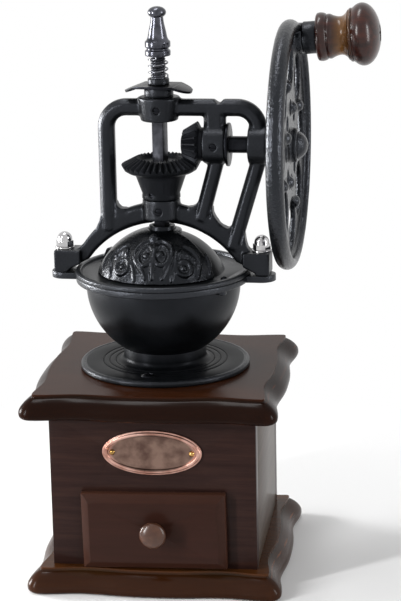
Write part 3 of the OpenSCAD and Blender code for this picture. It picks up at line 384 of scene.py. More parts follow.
@dataclass(frozen=True)
class JapannedIron(Finish):
    """Cast iron under black stoving varnish: soft dark sheen over a sand-cast grain."""

    dark: str = "#040506"
    light: str = "#0b0c0e"
    gloss: tuple[float, float] = (0.27, 0.42)
    grain_mm: float = 1.2
    grain_depth_mm: float = 0.05
    coarse_depth_mm: float = 0.16
    coarse_from_mm: Optional[float] = None
    shaded_below_mm: Optional[float] = None
    ior: float = 1.32
    tint: str = "#e2e8f6"

    def dress(self, tree: bpy.types.NodeTree, shader: bpy.types.Node, place: bpy.types.NodeSocket) -> None:
        """Adds the varnish colour, its gloss, the grain of the casting and, where set, a painted shade that dims the
        reflection low down.
        """
        grain = add_node(tree, "ShaderNodeTexNoise", {"Scale": 1 / (self.grain_mm * MM), "Detail": 3.0},
                         {"Vector": place})
        cloud = add_node(tree, "ShaderNodeTexNoise", {"Scale": 1 / (14 * MM), "Detail": 4.0}, {"Vector": place})
        colour = add_node(tree, "ShaderNodeValToRGB", links={"Fac": cloud.outputs["Fac"]},
                          stops=[(0.35, self.dark), (0.65, self.light)])
        sheen = add_node(tree, "ShaderNodeMapRange", {"To Min": self.gloss[0], "To Max": self.gloss[1]},
                         {"Value": cloud.outputs["Fac"]})
        depth = add_node(tree, "ShaderNodeMath", {1: self.grain_depth_mm * MM},
                         {0: grain.outputs["Fac"]}, operation="MULTIPLY")
        if self.coarse_from_mm:
            flat = add_node(tree, "ShaderNodeVectorMath", {1: (1, 1, 0)}, {0: place}, operation="MULTIPLY")
            reach = add_node(tree, "ShaderNodeVectorMath", links={0: flat.outputs["Vector"]}, operation="LENGTH")
            edge = add_node(tree, "ShaderNodeMapRange",
                            {"From Min": (self.coarse_from_mm - 0.6) * MM, "From Max": self.coarse_from_mm * MM,
                             "To Min": self.grain_depth_mm * MM, "To Max": self.coarse_depth_mm * MM},
                            {"Value": reach.outputs["Value"]})
            tree.links.new(edge.outputs["Result"], depth.inputs[1])
        # Painted shade: below the set height the reflection level drops, standing in for the shade under the bowl; the
        # coarse rim gets a higher level.
        if self.coarse_from_mm and self.shaded_below_mm:
            apart = add_node(tree, "ShaderNodeSeparateXYZ", links={0: place})
            high = add_node(tree, "ShaderNodeMapRange",
                            {"From Min": (self.shaded_below_mm - 4) * MM, "From Max": self.shaded_below_mm * MM,
                             "To Min": 0.1, "To Max": 0.45}, {"Value": apart.outputs["Z"]})
            bright = add_node(tree, "ShaderNodeMapRange",
                              {"From Min": (self.coarse_from_mm - 0.6) * MM,
                               "From Max": self.coarse_from_mm * MM, "To Max": 0.5},
                              {"Value": reach.outputs["Value"]})
            level = add_node(tree, "ShaderNodeMath",
                             links={0: high.outputs["Result"], 1: bright.outputs["Result"]}, operation="ADD")
            tree.links.new(level.outputs["Value"], shader.inputs["Specular IOR Level"])
        bump = add_node(tree, "ShaderNodeBump", {"Distance": 1.0, "Strength": 1.0},
                        {"Height": depth.outputs["Value"]})
        tree.links.new(colour.outputs["Color"], shader.inputs["Base Color"])
        tree.links.new(sheen.outputs["Result"], shader.inputs["Roughness"])
        tree.links.new(bump.outputs["Normal"], shader.inputs["Normal"])
        shader.inputs["IOR"].default_value = self.ior
        shader.inputs["Specular Tint"].default_value = linear(self.tint)


@dataclass(frozen=True)
class BareMetal(Finish):
    """Metal with no paint: turned, drawn or plated, with fine marks along one axis."""

    colour: str = "#8c8d91"
    shade: str = "#6d6e73"
    gloss: tuple[float, float] = (0.22, 0.38)
    mark_mm: float = 0.35
    mark_depth_mm: float = 0.004
    along: Axis = Axis.Z

    def dress(self, tree: bpy.types.NodeTree, shader: bpy.types.Node, place: bpy.types.NodeSocket) -> None:
        """Adds the metal's colour, its gloss and its marks."""
        stretch = [1 / (self.mark_mm * MM)] * 3
        stretch[self.along.value] /= 12
        mapping = add_node(tree, "ShaderNodeMapping", {"Scale": stretch}, {"Vector": place})
        marks = add_node(tree, "ShaderNodeTexNoise", {"Scale": 1.0, "Detail": 3.0},
                         {"Vector": mapping.outputs["Vector"]})
        cloud = add_node(tree, "ShaderNodeTexNoise", {"Scale": 1 / (5 * MM), "Detail": 3.0}, {"Vector": place})
        colour = add_node(tree, "ShaderNodeValToRGB", links={"Fac": cloud.outputs["Fac"]},
                          stops=[(0.3, self.shade), (0.7, self.colour)])
        sheen = add_node(tree, "ShaderNodeMapRange", {"To Min": self.gloss[0], "To Max": self.gloss[1]},
                         {"Value": marks.outputs["Fac"]})
        bump = add_node(tree, "ShaderNodeBump", {"Distance": self.mark_depth_mm * MM},
                        {"Height": marks.outputs["Fac"]})
        tree.links.new(colour.outputs["Color"], shader.inputs["Base Color"])
        tree.links.new(sheen.outputs["Result"], shader.inputs["Roughness"])
        tree.links.new(bump.outputs["Normal"], shader.inputs["Normal"])
        shader.inputs["Metallic"].default_value = 1.0


@dataclass(frozen=True)
class PressedCopper(Finish):
    """Pressed copper plate: rubbed bright on its raised rim and dark with patina in its field."""

    middle_mm: tuple[float, float] = (0.0, 77.9)
    half_mm: tuple[float, float] = (26.6, 12.3)
    field: tuple[str, str] = ("#57433c", "#7d665b")
    rim: tuple[str, str] = ("#a27567", "#d3aa9c")
    rim_share: tuple[float, float] = (0.8, 0.87)

    def dress(self, tree: bpy.types.NodeTree, shader: bpy.types.Node, place: bpy.types.NodeSocket) -> None:
        """Adds the field's patina, the bright rim and small dents."""
        scale = (1 / (self.half_mm[0] * MM), 0, 1 / (self.half_mm[1] * MM))
        shift = (-self.middle_mm[0] / self.half_mm[0], 0, -self.middle_mm[1] / self.half_mm[1])
        centred = add_node(tree, "ShaderNodeMapping", {"Scale": scale, "Location": shift}, {"Vector": place})
        reach = add_node(tree, "ShaderNodeVectorMath", links={0: centred.outputs["Vector"]}, operation="LENGTH")
        on_rim = add_node(tree, "ShaderNodeMapRange",
                          {"From Min": self.rim_share[0], "From Max": self.rim_share[1]},
                          {"Value": reach.outputs["Value"]})
        cloud = add_node(tree, "ShaderNodeTexNoise", {"Scale": 1 / (7 * MM), "Detail": 5.0}, {"Vector": place})
        field = add_node(tree, "ShaderNodeValToRGB", links={"Fac": cloud.outputs["Fac"]},
                         stops=[(0.35, self.field[0]), (0.65, self.field[1])])
        rim = add_node(tree, "ShaderNodeValToRGB", links={"Fac": cloud.outputs["Fac"]},
                       stops=[(0.35, self.rim[0]), (0.65, self.rim[1])])
        colour = add_node(tree, "ShaderNodeMix",
                          links={"Factor": on_rim.outputs["Result"], "A": field.outputs["Color"],
                                 "B": rim.outputs["Color"]}, data_type="RGBA")
        sheen = add_node(tree, "ShaderNodeMapRange", {"To Min": 0.22, "To Max": 0.4},
                         {"Value": cloud.outputs["Fac"]})
        dents = add_node(tree, "ShaderNodeTexNoise", {"Scale": 1 / (1.6 * MM)}, {"Vector": place})
        bump = add_node(tree, "ShaderNodeBump", {"Distance": 0.05 * MM}, {"Height": dents.outputs["Fac"]})
        tree.links.new(colour.outputs["Result"], shader.inputs["Base Color"])
        tree.links.new(sheen.outputs["Result"], shader.inputs["Roughness"])
        tree.links.new(bump.outputs["Normal"], shader.inputs["Normal"])
        shader.inputs["Metallic"].default_value = 1.0


@dataclass(frozen=True)
class VarnishedWood(Finish):
    """Stained wood under varnish: fine streaks, dark pores, worn edges, a moulding band in its own colour and, where
    set, an amber patch of painted light.
    """

    dark: str = "#21130e"
    middle: str = "#3a2419"
    light: str = "#553524"
    rub: str = "#6e3a1e"
    along: Axis = Axis.X
    streak_mm: float = 2.6
    streak_run: float = 18.0
    pore_mm: float = 0.45
    gloss: float = 0.32
    varnish: float = 0.12
    coat_gloss: float = 0.14
    ior: float = 1.18
    worn: float = 0.0
    band: Optional[str] = None
    band_from_mm: float = 61.5
    # Painted light: a patch of amber light painted round one place along the X axis.
    painted_light: Optional[str] = None
    painted_light_at_mm: float = 96.0
    painted_light_reach_mm: float = 6.5

    def banded(self, tree: bpy.types.NodeTree, place: bpy.types.NodeSocket,
               colour: bpy.types.NodeSocket) -> bpy.types.NodeSocket:
        """Mixes the band's colour into everything beyond a square round the Z axis."""
        apart = add_node(tree, "ShaderNodeSeparateXYZ", links={0: place})
        reaches = [add_node(tree, "ShaderNodeMath", links={0: apart.outputs[i]}, operation="ABSOLUTE")
                   for i in (0, 1)]
        reach = add_node(tree, "ShaderNodeMath", links={i: reaches[i].outputs["Value"] for i in (0, 1)},
                         operation="MAXIMUM")
        share = add_node(tree, "ShaderNodeMapRange",
                         {"From Min": (self.band_from_mm - 2.5) * MM, "From Max": (self.band_from_mm + 1.5) * MM,
                          "To Max": 0.85}, {"Value": reach.outputs["Value"]})
        mix = add_node(tree, "ShaderNodeMix", {"B": linear(self.band)},
                       {"Factor": share.outputs["Result"], "A": colour}, data_type="RGBA")
        return mix.outputs["Result"]

    def painted_light_patch(self, tree: bpy.types.NodeTree, place: bpy.types.NodeSocket,
               colour: bpy.types.NodeSocket) -> bpy.types.NodeSocket:
        """Paints a patch of amber light over the varnish round one place along the X axis."""
        apart = add_node(tree, "ShaderNodeSeparateXYZ", links={0: place})
        away = add_node(tree, "ShaderNodeMath", {1: self.painted_light_at_mm * MM}, {0: apart.outputs["X"]},
                        operation="SUBTRACT")
        far = add_node(tree, "ShaderNodeMath", links={0: away.outputs["Value"]}, operation="ABSOLUTE")
        share = add_node(tree, "ShaderNodeMapRange",
                         {"From Min": 0.0, "From Max": self.painted_light_reach_mm * MM, "To Min": 0.8, "To Max": 0.0},
                         {"Value": far.outputs["Value"]}, interpolation_type="SMOOTHSTEP")
        mix = add_node(tree, "ShaderNodeMix", {"B": linear(self.painted_light)},
                       {"Factor": share.outputs["Result"], "A": colour}, data_type="RGBA")
        return mix.outputs["Result"]

    def dress(self, tree: bpy.types.NodeTree, shader: bpy.types.Node, place: bpy.types.NodeSocket) -> None:
        """Adds grain, pores, the band's colour, a patch of painted amber light, worn edges and varnish."""
        wide = [1 / (self.streak_mm * MM)] * 3
        wide[self.along.value] /= self.streak_run
        fine = [1 / (self.pore_mm * MM)] * 3
        fine[self.along.value] /= 20
        streak_place = add_node(tree, "ShaderNodeMapping", {"Scale": wide}, {"Vector": place})
        pore_place = add_node(tree, "ShaderNodeMapping", {"Scale": fine}, {"Vector": place})
        streaks = add_node(tree, "ShaderNodeTexNoise", {"Scale": 1.0, "Detail": 5.0, "Distortion": 0.25},
                           {"Vector": streak_place.outputs["Vector"]})
        pores = add_node(tree, "ShaderNodeTexNoise", {"Scale": 1.0, "Detail": 2.0},
                         {"Vector": pore_place.outputs["Vector"]})
        grain = add_node(tree, "ShaderNodeValToRGB", links={"Fac": streaks.outputs["Fac"]},
                         stops=[(0.3, self.dark), (0.7, self.light), (0.5, self.middle)])
        pore = add_node(tree, "ShaderNodeMapRange",
                        {"From Min": 0.32, "From Max": 0.46, "To Min": 0.82, "To Max": 1.0},
                        {"Value": pores.outputs["Fac"]})
        porous = add_node(tree, "ShaderNodeVectorMath",
                          links={0: grain.outputs["Color"], "Scale": pore.outputs["Result"]}, operation="SCALE")
        colour = porous.outputs["Vector"]
        if self.band:
            colour = self.banded(tree, place, colour)
        # Painted amber light, where set.
        if self.painted_light:
            colour = self.painted_light_patch(tree, place, colour)
        if self.worn:
            edge = add_node(tree, "ShaderNodeNewGeometry").outputs["Pointiness"]
            patchy = add_node(tree, "ShaderNodeMapRange",
                              {"From Min": 0.51, "From Max": 0.6, "To Min": 0.0, "To Max": self.worn},
                              {"Value": edge})
            mix = add_node(tree, "ShaderNodeMix", {"B": linear(self.rub)},
                           {"Factor": patchy.outputs["Result"], "A": colour}, data_type="RGBA")
            colour = mix.outputs["Result"]
        bump = add_node(tree, "ShaderNodeBump", {"Distance": 0.02 * MM}, {"Height": pore.outputs["Result"]})
        tree.links.new(colour, shader.inputs["Base Color"])
        tree.links.new(bump.outputs["Normal"], shader.inputs["Normal"])
        shader.inputs["Roughness"].default_value = self.gloss
        shader.inputs["Coat Weight"].default_value = self.varnish
        shader.inputs["Coat Roughness"].default_value = self.coat_gloss
        shader.inputs["IOR"].default_value = self.ior


IRON = JapannedIron("japanned_cast_iron", grain_depth_mm=0.14, ior=1.37)
# The bowl's iron dims its reflection low down: painted shade under the bowl.
RIM_IRON = JapannedIron("japanned_cast_iron_rim", coarse_from_mm=43.5, coarse_depth_mm=0.24,
                        shaded_below_mm=121.0)
WHEEL_IRON = JapannedIron("japanned_cast_iron_wheel", grain_mm=1.5, grain_depth_mm=0.42, gloss=(0.2, 0.3),
                          ior=1.46)
LID_IRON = JapannedIron("japanned_cast_iron_lid", grain_depth_mm=0.2, gloss=(0.22, 0.32), ior=1.36)
GEAR_IRON = JapannedIron("greased_gear_iron", dark="#070809", light="#101114", gloss=(0.34, 0.5), ior=1.22)
BURR_IRON = BareMetal("ground_burr_iron", colour="#6d6e70", shade="#4f5052", gloss=(0.35, 0.5))
DARK_STEEL = BareMetal("blackened_steel", colour="#232428", shade="#141518", gloss=(0.28, 0.42))
SPINDLE_STEEL = BareMetal("drawn_spindle_steel", colour="#4e4f55", shade="#2e2f33", gloss=(0.25, 0.4))
BRIGHT_STEEL = BareMetal("drawn_spring_steel", colour="#85868b", shade="#5c5d62", gloss=(0.18, 0.3))
PLATING = BareMetal("nickel_plating", colour="#c9c8c8", shade="#a5a4a6", gloss=(0.08, 0.16))
FINIAL_PLATING = BareMetal("dark_nickel_plating", colour="#5c5d64", shade="#2b2c31", gloss=(0.16, 0.28))
BRASS = BareMetal("polished_brass", colour="#b9925a", shade="#86693a", gloss=(0.16, 0.28))
COPPER = PressedCopper("pressed_copper")
FRONT_WOOD = VarnishedWood("varnished_walnut_front", dark="#211310", middle="#271815", light="#2e1d18",
                           varnish=0.06, ior=1.15)
# The side boards' walnut is painted lighter and greyer than the front's: a painted sheen. Its grain along Y is the
# boards' own.
SHEEN_SIDE_WOOD = VarnishedWood("varnished_walnut_side_painted_sheen", dark="#30261f", middle="#3b3028", light="#463a31",
                          along=Axis.Y, ior=1.22, gloss=0.38, varnish=0.05)
MOULD_WOOD = VarnishedWood("varnished_mahogany_moulding", dark="#120803", middle="#1a0c05", light="#231208",
                           band="#140501", worn=0.25, varnish=0.09, ior=1.1, gloss=0.26)
BASE_WOOD = VarnishedWood("varnished_mahogany_base", dark="#1b1007", middle="#26170a", light="#34200e",
                          band="#2c1508", rub="#7a441c", worn=0.4, varnish=0.14, ior=1.12, gloss=0.26)
PANEL_WOOD = VarnishedWood("varnished_mahogany_panel", dark="#150807", middle="#1a0b0a", light="#200e0c",
                           rub="#6a4636", worn=0.5, varnish=0.06, ior=1.14)
KNOB_WOOD = VarnishedWood("varnished_turned_knob", dark="#3a2217", middle="#42281b", light="#4a2e20",
                          along=Axis.Y, gloss=0.3, varnish=0.4, coat_gloss=0.22, ior=1.3)
# The grip's waist carries a patch of painted amber light.
GRIP_WOOD = VarnishedWood("polished_turned_grip", dark="#1b0805", middle="#290f09", light="#3a170d",
                          painted_light="#6e4a22", gloss=0.3, varnish=0.45, coat_gloss=0.24, ior=1.25)
PLAIN_WOOD = VarnishedWood("bare_pine", dark="#8a6b43", middle="#a98a5e", light="#c3a878",
                           along=Axis.Y, gloss=0.6, varnish=0.0, ior=1.4)


# Workshop


def finished(shape: BMesh, name: str, finish: Finish, body: str, nodes: Sequence[str], angle: float = 38) -> None:
    """Makes a piece of a shape and lets it stand for its CAD nodes.

    Args:
        shape: The piece's shape, in metres and in place.
        name: The piece's name.
        finish: Its finish.
        body: The body that it moves with.
        nodes: The CAD nodes that it stands for.
        angle: Edges that turn by more than this many degrees stay crisp.
    """
    limit = math.radians(angle)
    for face in shape.faces:
        face.smooth = True
    for edge in shape.edges:
        edge.smooth = len(edge.link_faces) == 2 and edge.calc_face_angle() < limit
    mesh = bpy.data.meshes.new(name)
    shape.to_mesh(mesh)
    shape.free()
    mesh.materials.append(finish.material())
    piece = bpy.data.objects.new(name, mesh)
    bpy.context.scene.collection.objects.link(piece)
    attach(piece, body)
    if nodes:
        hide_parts(*nodes)
    log.info("%s: %d faces for %s", name, len(mesh.polygons), ", ".join(nodes))


def repainted(node: str, finish: Finish) -> None:
    """Gives a CAD node that stays as it is its finish."""
    target = frame["nodes"][node]
    target.data.materials.clear()
    target.data.materials.append(finish.material())
    log.info("%s: repainted with %s", node, finish.name)


def trimmed(node: str, finish: Finish, body: str, width: float, angle: float = 30) -> None:
    """Stands a copy with softened edges in for a CAD node."""
    finished(softened(node_copy(node), width, angle=angle), node + "_dressed", finish, body, [node])


def low_mm(node: str, axis: Axis) -> float:
    """The lowest place of a CAD node along an axis, in millimetres."""
    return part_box(node)[0][axis.value] / MM


def high_mm(node: str, axis: Axis) -> float:
    """The highest place of a CAD node along an axis, in millimetres."""
    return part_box(node)[1][axis.value] / MM


@dataclass
class WoodenCase:
    """Two moulded plates and the box of boards between them. Sizes in millimetres."""

    corner_r: float = 6.5
    wave_depth: float = 2.5
    middle_in: float = 0.03
    mould_width: float = 7.0
    board_edge: float = 0.7
    side_faces: int = 40
    corner_faces: int = 8

    def outline_point(self, share: float, half_width: float, inset: float) -> Vector:
        """A point on the wavy outline of a plate.

        Args:
            share: How far round the plate, from 0 to 1.
            half_width: Half of the plate's width.
            inset: How far the outline is drawn in.

        Returns:
            The point, with a height of zero.
        """
        half = half_width - inset
        radius = self.corner_r * (1 - 0.7 * inset / self.mould_width)
        centre = half - radius
        side, along = divmod(share * 4, 1)
        straight = self.side_faces / (self.side_faces + self.corner_faces)
        if along < straight:
            run = -centre + 2 * centre * along / straight
            reach = abs(run) / centre
            wave = self.wave_depth * math.sin(math.pi * reach ** 1.4) ** 2 + self.middle_in * (1 - reach)
            point = Vector((run, wave - half, 0))
        else:
            turn = math.radians(-90 + 90 * (along - straight) / (1 - straight))
            point = Vector((centre + radius * math.cos(turn), radius * math.sin(turn) - centre, 0))
        return Matrix.Rotation(math.radians(90) * (side % 4), 3, "Z") @ point

    def moulded_plate(self, node: str) -> BMesh:
        """One plate with its moulding, from a line near the underside up to the top."""
        low, high = low_mm(node, Axis.Z), high_mm(node, Axis.Z)
        left, right = low_mm(node, Axis.X), high_mm(node, Axis.X)
        half_width, middle = (right - left) / 2, (right + left) / 2
        moulding = [(0.45, 0), (0.18, 0.045), (0.04, 0.13), (0, 0.27), (0.06, 0.42), (0.24, 0.57), (0.47, 0.7),
                    (0.71, 0.8), (0.86, 0.85), (0.98, 0.87), (1, 1)]
        sizes = [(x * self.mould_width, z * (high - low)) for x, z in moulding]
        curve = [*flowing(sizes[:-1], 3), Vector(sizes[-1])]
        profile = rounded([(p[0], p[1]) for p in curve], 0.45)
        last = len(profile) - 1

        def place(u: float, v: float) -> Vector:
            """A point of the moulding."""
            inset, height = profile[round(v * last)]
            point = self.outline_point(u, half_width, max(inset, 0))
            return point + Vector((middle, 0, low + height))

        return draped(place, 4 * (self.side_faces + self.corner_faces), last)

    def build(self) -> None:
        """Makes the plates and dresses the boards."""
        for node, finish in (("base_plate", BASE_WOOD), ("top_plate", MOULD_WOOD)):
            finished(self.moulded_plate(node), node + "_moulded", finish, "case", [node], angle=50)
        for node in ("front_board", "back_board"):
            trimmed(node, FRONT_WOOD, "case", self.board_edge)
        # The side boards get the walnut with the painted sheen.
        for node in ("left_board", "right_board"):
            trimmed(node, SHEEN_SIDE_WOOD, "case", self.board_edge)
        repainted("drawer_guides", PLAIN_WOOD)
        repainted("base_screws", BRIGHT_STEEL)


@dataclass
class OvalPlate:
    """Pressed copper plate with a raised rim and two brass pins. Sizes in millimetres."""

    rim_out: float = 0.8
    rim_in: float = 3.2
    rim_rise: float = 0.7
    crown: float = 0.5
    rings: int = 24

    def build(self) -> None:
        """Makes the plate, with a bare field, and its pins."""
        low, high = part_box("oval_plate")
        centre = (low + high) / 2 / MM
        half_w, half_h = (high.x - low.x) / 2 / MM, (high.z - low.z) / 2 / MM
        back, front = high.y / MM, low.y / MM
        thick = back - front - self.rim_rise
        profile = rounded([(0, 0), (0, thick), (self.rim_out, thick), (self.rim_out + 0.5, thick + self.rim_rise),
                           (self.rim_in - 0.5, thick + self.rim_rise), (self.rim_in, thick - 0.15)], 0.35)
        inner = profile[-1][0]
        last = len(profile) - 1 + self.rings

        def place(u: float, v: float) -> Vector:
            """A point of the plate's skin, from its back edge over the rim to the middle."""
            i = round(v * last)
            angle = 2 * math.pi * u
            if i < len(profile):
                inset, rise = profile[i]
                shrink = 1.0
            else:
                shrink = 1 - (i - len(profile) + 1) / self.rings
                inset = inner
                rise = profile[-1][1] + self.crown * (1 - shrink ** 2)
            wide, tall = (half_w - inset) * shrink, (half_h - inset) * shrink
            return Vector((centre.x + wide * math.cos(angle), back - rise, centre.z + tall * math.sin(angle)))

        finished(draped(place, 96, last), "oval_plate_pressed", COPPER, "case", ["oval_plate"], angle=60)
        trimmed("oval_plate_pins", BRASS, "case", 0.1, angle=50)


@dataclass
class Drawer:
    """Drawer with a bevelled front and a turned knob. Sizes in millimetres."""

    bevel_edge: float = 0.8
    knob_neck: float = 3.4
    knob_r: float = 7.1

    def build(self) -> None:
        """Dresses the drawer's boards and turns its knob."""
        trimmed("drawer_front", PANEL_WOOD, "drawer", self.bevel_edge, angle=20)
        for node in ("drawer_left_side", "drawer_right_side", "drawer_back", "drawer_floor"):
            repainted(node, PLAIN_WOOD)
        repainted("drawer_knob_screw", BRIGHT_STEEL)
        low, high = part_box("drawer_knob")
        length = (high.y - low.y) / MM
        cap = self.knob_r * 0.5
        outline = [(0, 0), (self.knob_r * 0.62, 0), (self.knob_r * 0.6, 0.8), (self.knob_r * 0.5, 2.0),
                   (self.knob_neck, length * 0.36), (self.knob_r * 0.62, length * 0.47)]
        outline += [(r * self.knob_r, length - cap + z * cap) for r, z in arc(1, -35, 90, 24)]
        shape = spun(rounded(outline, 0.8, 2), steps=72)
        turn = Matrix.Rotation(math.radians(90), 4, "X")
        centre = Vector(((low.x + high.x) / 2, high.y, (low.z + high.z) / 2))
        finished(placed(shape, Matrix.Translation(centre) @ turn), "drawer_knob_turned", KNOB_WOOD, "drawer",
                 ["drawer_knob"])


@dataclass
class Bowl:
    """Bowl casting: foot disc with grooves, neck, bowl, rim and two ears. Sizes in millimetres."""

    foot_r: float = 46.2
    foot_t: float = 3.4
    neck_r: float = 22.5
    flare_r: float = 3.0
    bowl_r: float = 41.8
    wall: float = 4.0
    centre_h: float = 46.6
    rim_h: float = 48.6
    rim_r: float = 47.2
    rim_t: float = 3.5
    burr_seat_r: float = 18.85
    groove_w: float = 0.8
    groove_d: float = 0.45
    groove_gap: float = 3.4
    ear_end: float = 61.4
    ear_w: float = 15.0
    ear_t: float = 3.5

    def foot_outline(self) -> Outline:
        """The foot disc from its underside over the edge and the grooves to the neck."""
        points = [(17, 0), (self.foot_r - 0.5, 0), (self.foot_r, 0.6), (self.foot_r, self.foot_t - 1.1),
                  (self.foot_r - 0.9, self.foot_t - 0.1), (self.foot_r - 2.0, self.foot_t),
                  (self.foot_r - 2.5, self.foot_t - self.groove_d), (self.foot_r - 3.1, self.foot_t)]
        for k in (2, 1, 0):
            inner = self.neck_r + 4.1 + self.groove_gap * k
            points += [(inner + self.groove_w, self.foot_t), (inner + self.groove_w * 0.6, self.foot_t - self.groove_d),
                       (inner + self.groove_w * 0.4, self.foot_t - self.groove_d), (inner, self.foot_t)]
        return rounded(points, 0.3, 2)

    def outline(self) -> Outline:
        """The whole turned part of the casting as a closed outline."""
        neck_angle = math.degrees(math.acos(self.neck_r / self.bowl_r))
        inner_r = self.bowl_r - self.wall
        seat_angle = math.degrees(math.acos(self.burr_seat_r / inner_r))
        flare = arc(self.flare_r, 270, 180, 8, (self.neck_r + self.flare_r, self.foot_t + self.flare_r))
        outside = arc(self.bowl_r, -neck_angle, 0, 40, (0, self.centre_h))
        top = self.rim_h + self.rim_t
        rim = rounded([(self.bowl_r, self.rim_h - 0.4), (self.bowl_r + 0.6, self.rim_h), (self.rim_r, self.rim_h),
                       (self.rim_r, top), (inner_r, top)], 0.7)
        inside = arc(inner_r, 0, -seat_angle, 32, (0, self.centre_h))
        foot = [(self.burr_seat_r, 1.6), (17, 1.6)]
        return [*self.foot_outline(), *flare, *outside, *rim, *inside, *foot]

    def ear(self, side: int) -> BMesh:
        """One ear: a slab with a round end."""
        shape = bmesh.new()
        rim = bmesh.ops.create_circle(shape, segments=48, radius=self.ear_w / 2 * MM, cap_ends=True)["verts"]
        for vert in rim:
            vert.co.x += (self.ear_end - self.ear_w / 2) * MM
            if vert.co.x < (self.ear_end - self.ear_w / 2 - 0.01) * MM:
                vert.co.x = (self.bowl_r - 1) * MM
        bmesh.ops.remove_doubles(shape, verts=shape.verts, dist=MERGE)
        block = bmesh.ops.extrude_face_region(shape, geom=shape.faces[:])["geom"]
        lift = [item for item in block if isinstance(item, bmesh.types.BMVert)]
        bmesh.ops.translate(shape, vec=(0, 0, self.ear_t * MM), verts=lift)
        bmesh.ops.recalc_face_normals(shape, faces=shape.faces)
        softened(shape, 0.7)
        low = (self.rim_h + self.rim_t - self.ear_t) * MM
        bmesh.ops.transform(shape, matrix=Matrix.Translation((0, 0, low)), verts=shape.verts)
        if side < 0:
            bmesh.ops.rotate(shape, cent=(0, 0, 0), matrix=Matrix.Rotation(math.pi, 3, "Z"), verts=shape.verts)
        return shape

    def nub(self, angle: float) -> BMesh:
        """A small boss under the rim."""
        shape = disc(2.4, self.rim_h - 2.4, self.rim_h + 0.5, 0.6, sides=24)
        turn = Matrix.Rotation(math.radians(angle), 4, "Z")
        return placed(shape, turn @ Matrix.Translation(((self.bowl_r + 1.4) * MM, 0, 0)))

    def build(self) -> None:
        """Makes the casting and dresses the foot screws and the outer burr."""
        parts = [spun(self.outline(), steps=160, closed=True), self.ear(1), self.ear(-1),
                 self.nub(-34.2), self.nub(145.8)]
        shape = placed(joined(parts), Matrix.Translation((0, 0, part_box("bowl")[0].z)) @ HEAD)
        finished(shape, "bowl_casting", RIM_IRON, "case", ["bowl"], angle=50)
        trimmed("foot_screws", DARK_STEEL, "case", 0.15, angle=40)
        repainted("outer_burr", BURR_IRON)


@dataclass
class Dome:
    """Fixed dome half with its ring, and the turning lid with its ornament. Sizes in millimetres."""

    lid_r: float = 38.0
    hub_rise: float = 0.9
    front: float = -92.0

    def on_lid(self, turn: float, rise: float, out: float = 0.0) -> Vector:
        """A point on the lid.

        Args:
            turn: Degrees round the lid from the middle of its front, to the right.
            rise: Degrees above the dome's centre.
            out: How far the point stands out from the lid's surface.

        Returns:
            The point, in millimetres.
        """
        a, b = math.radians(self.front + turn), math.radians(rise)
        reach = self.lid_r + out
        centre_z = high_mm("dome", Axis.Z) - self.lid_r - self.hub_rise
        return Vector((reach * math.cos(b) * math.cos(a), reach * math.cos(b) * math.sin(a),
                       centre_z + reach * math.sin(b)))

    def ridge(self, points: Outline, radius: float) -> BMesh:
        """A raised line along the lid through points given as turn and rise."""
        path = flowing([self.on_lid(turn, rise, radius * 0.1) for turn, rise in points], 8)
        return rod(path, radius, taper=True)

    def ring(self, turn: float, rise: float, wide: float, tall: float, radius: float) -> BMesh:
        """A raised oval line round a point of the lid, with its half width and height in degrees."""
        angles = [math.radians(100 + 30 * i) for i in range(13)]
        return self.ridge([(turn + wide * math.cos(a), rise + tall * math.sin(a)) for a in angles], radius)

    def bud(self, turn: float, rise: float, radius: float) -> BMesh:
        """A round bud on the lid."""
        return ball(self.on_lid(turn, rise, -radius * 0.1), radius)

    def leaf(self, turn: float, rise: float, lean: float) -> list[BMesh]:
        """A pointed leaf of three thick ridges under its tip."""
        return [self.ridge([(turn, rise), (turn + lean * side, rise - 4), (turn + (lean + 4) * side, rise - 9)], 1.3)
                for side in (-1, 0.2, 1)]

    def ornament(self) -> list[BMesh]:
        """Two large ovals with buds, scrolls round them, and a leaf over a loop at each side."""
        shapes = [
            self.bud(-6, 66, 2.9),
            self.ridge([(-0.6, 60), (-0.6, 52), (-0.6, 42), (0, 34), (0, 26)], 1.4),
            self.ring(-10, 47.5, 8.6, 9.6, 1.4), self.bud(-8.6, 46.5, 2.0),
            self.ring(8.8, 48, 8.6, 9.6, 1.4), self.bud(7.6, 48.2, 2.0),
            self.ridge([(-3, 62), (-14, 63), (-24, 57), (-25, 48), (-18, 40), (-10, 33), (-6, 26)], 1.3),
            self.ridge([(1, 62), (12, 63), (22, 57), (21.5, 48), (17, 40), (12, 33), (9, 26)], 1.3),
            self.ridge([(-34, 57), (-29, 48), (-23, 39), (-18, 30), (-16, 24)], 1.0),
            self.ridge([(32, 57), (27, 48), (23, 39), (19, 30), (17, 24)], 1.0),
            *self.leaf(-40, 52, 3.5), *self.leaf(35, 51.5, 3.5),
            self.ring(-33, 35, 7.5, 6.5, 1.3), self.bud(-33, 34.5, 1.6),
            self.ring(31, 35, 7.5, 6.5, 1.3), self.bud(31, 34.5, 1.6),
            self.ridge([(-46, 56), (-55, 48), (-56, 38), (-48, 30), (-44, 24)], 1.2),
            self.ridge([(42, 56), (50, 48), (51, 38), (45, 30), (42, 24)], 1.2),
            self.bud(-49, 42, 1.5), self.bud(45, 41, 1.5),
            self.ridge([(-70, 44), (-66, 34), (-60, 26)], 1.1), self.ridge([(66, 44), (62, 34), (57, 26)], 1.1),
        ]
        return shapes

    def build(self) -> None:
        """Makes the fixed half, the ring and the lid."""
        finished(softened(node_copy("dome"), 0.35, segments=2, angle=40), "dome_casting", RIM_IRON, "case",
                 ["dome"], angle=30)
        lid = cast(joined([node_copy("turning_lid"), *self.ornament()]), voxel=0.42, relax=3)
        finished(lid, "turning_lid_casting", LID_IRON, "lid", ["turning_lid"], angle=70)
        trimmed("dome_screws", DARK_STEEL, "case", 0.12, angle=40)


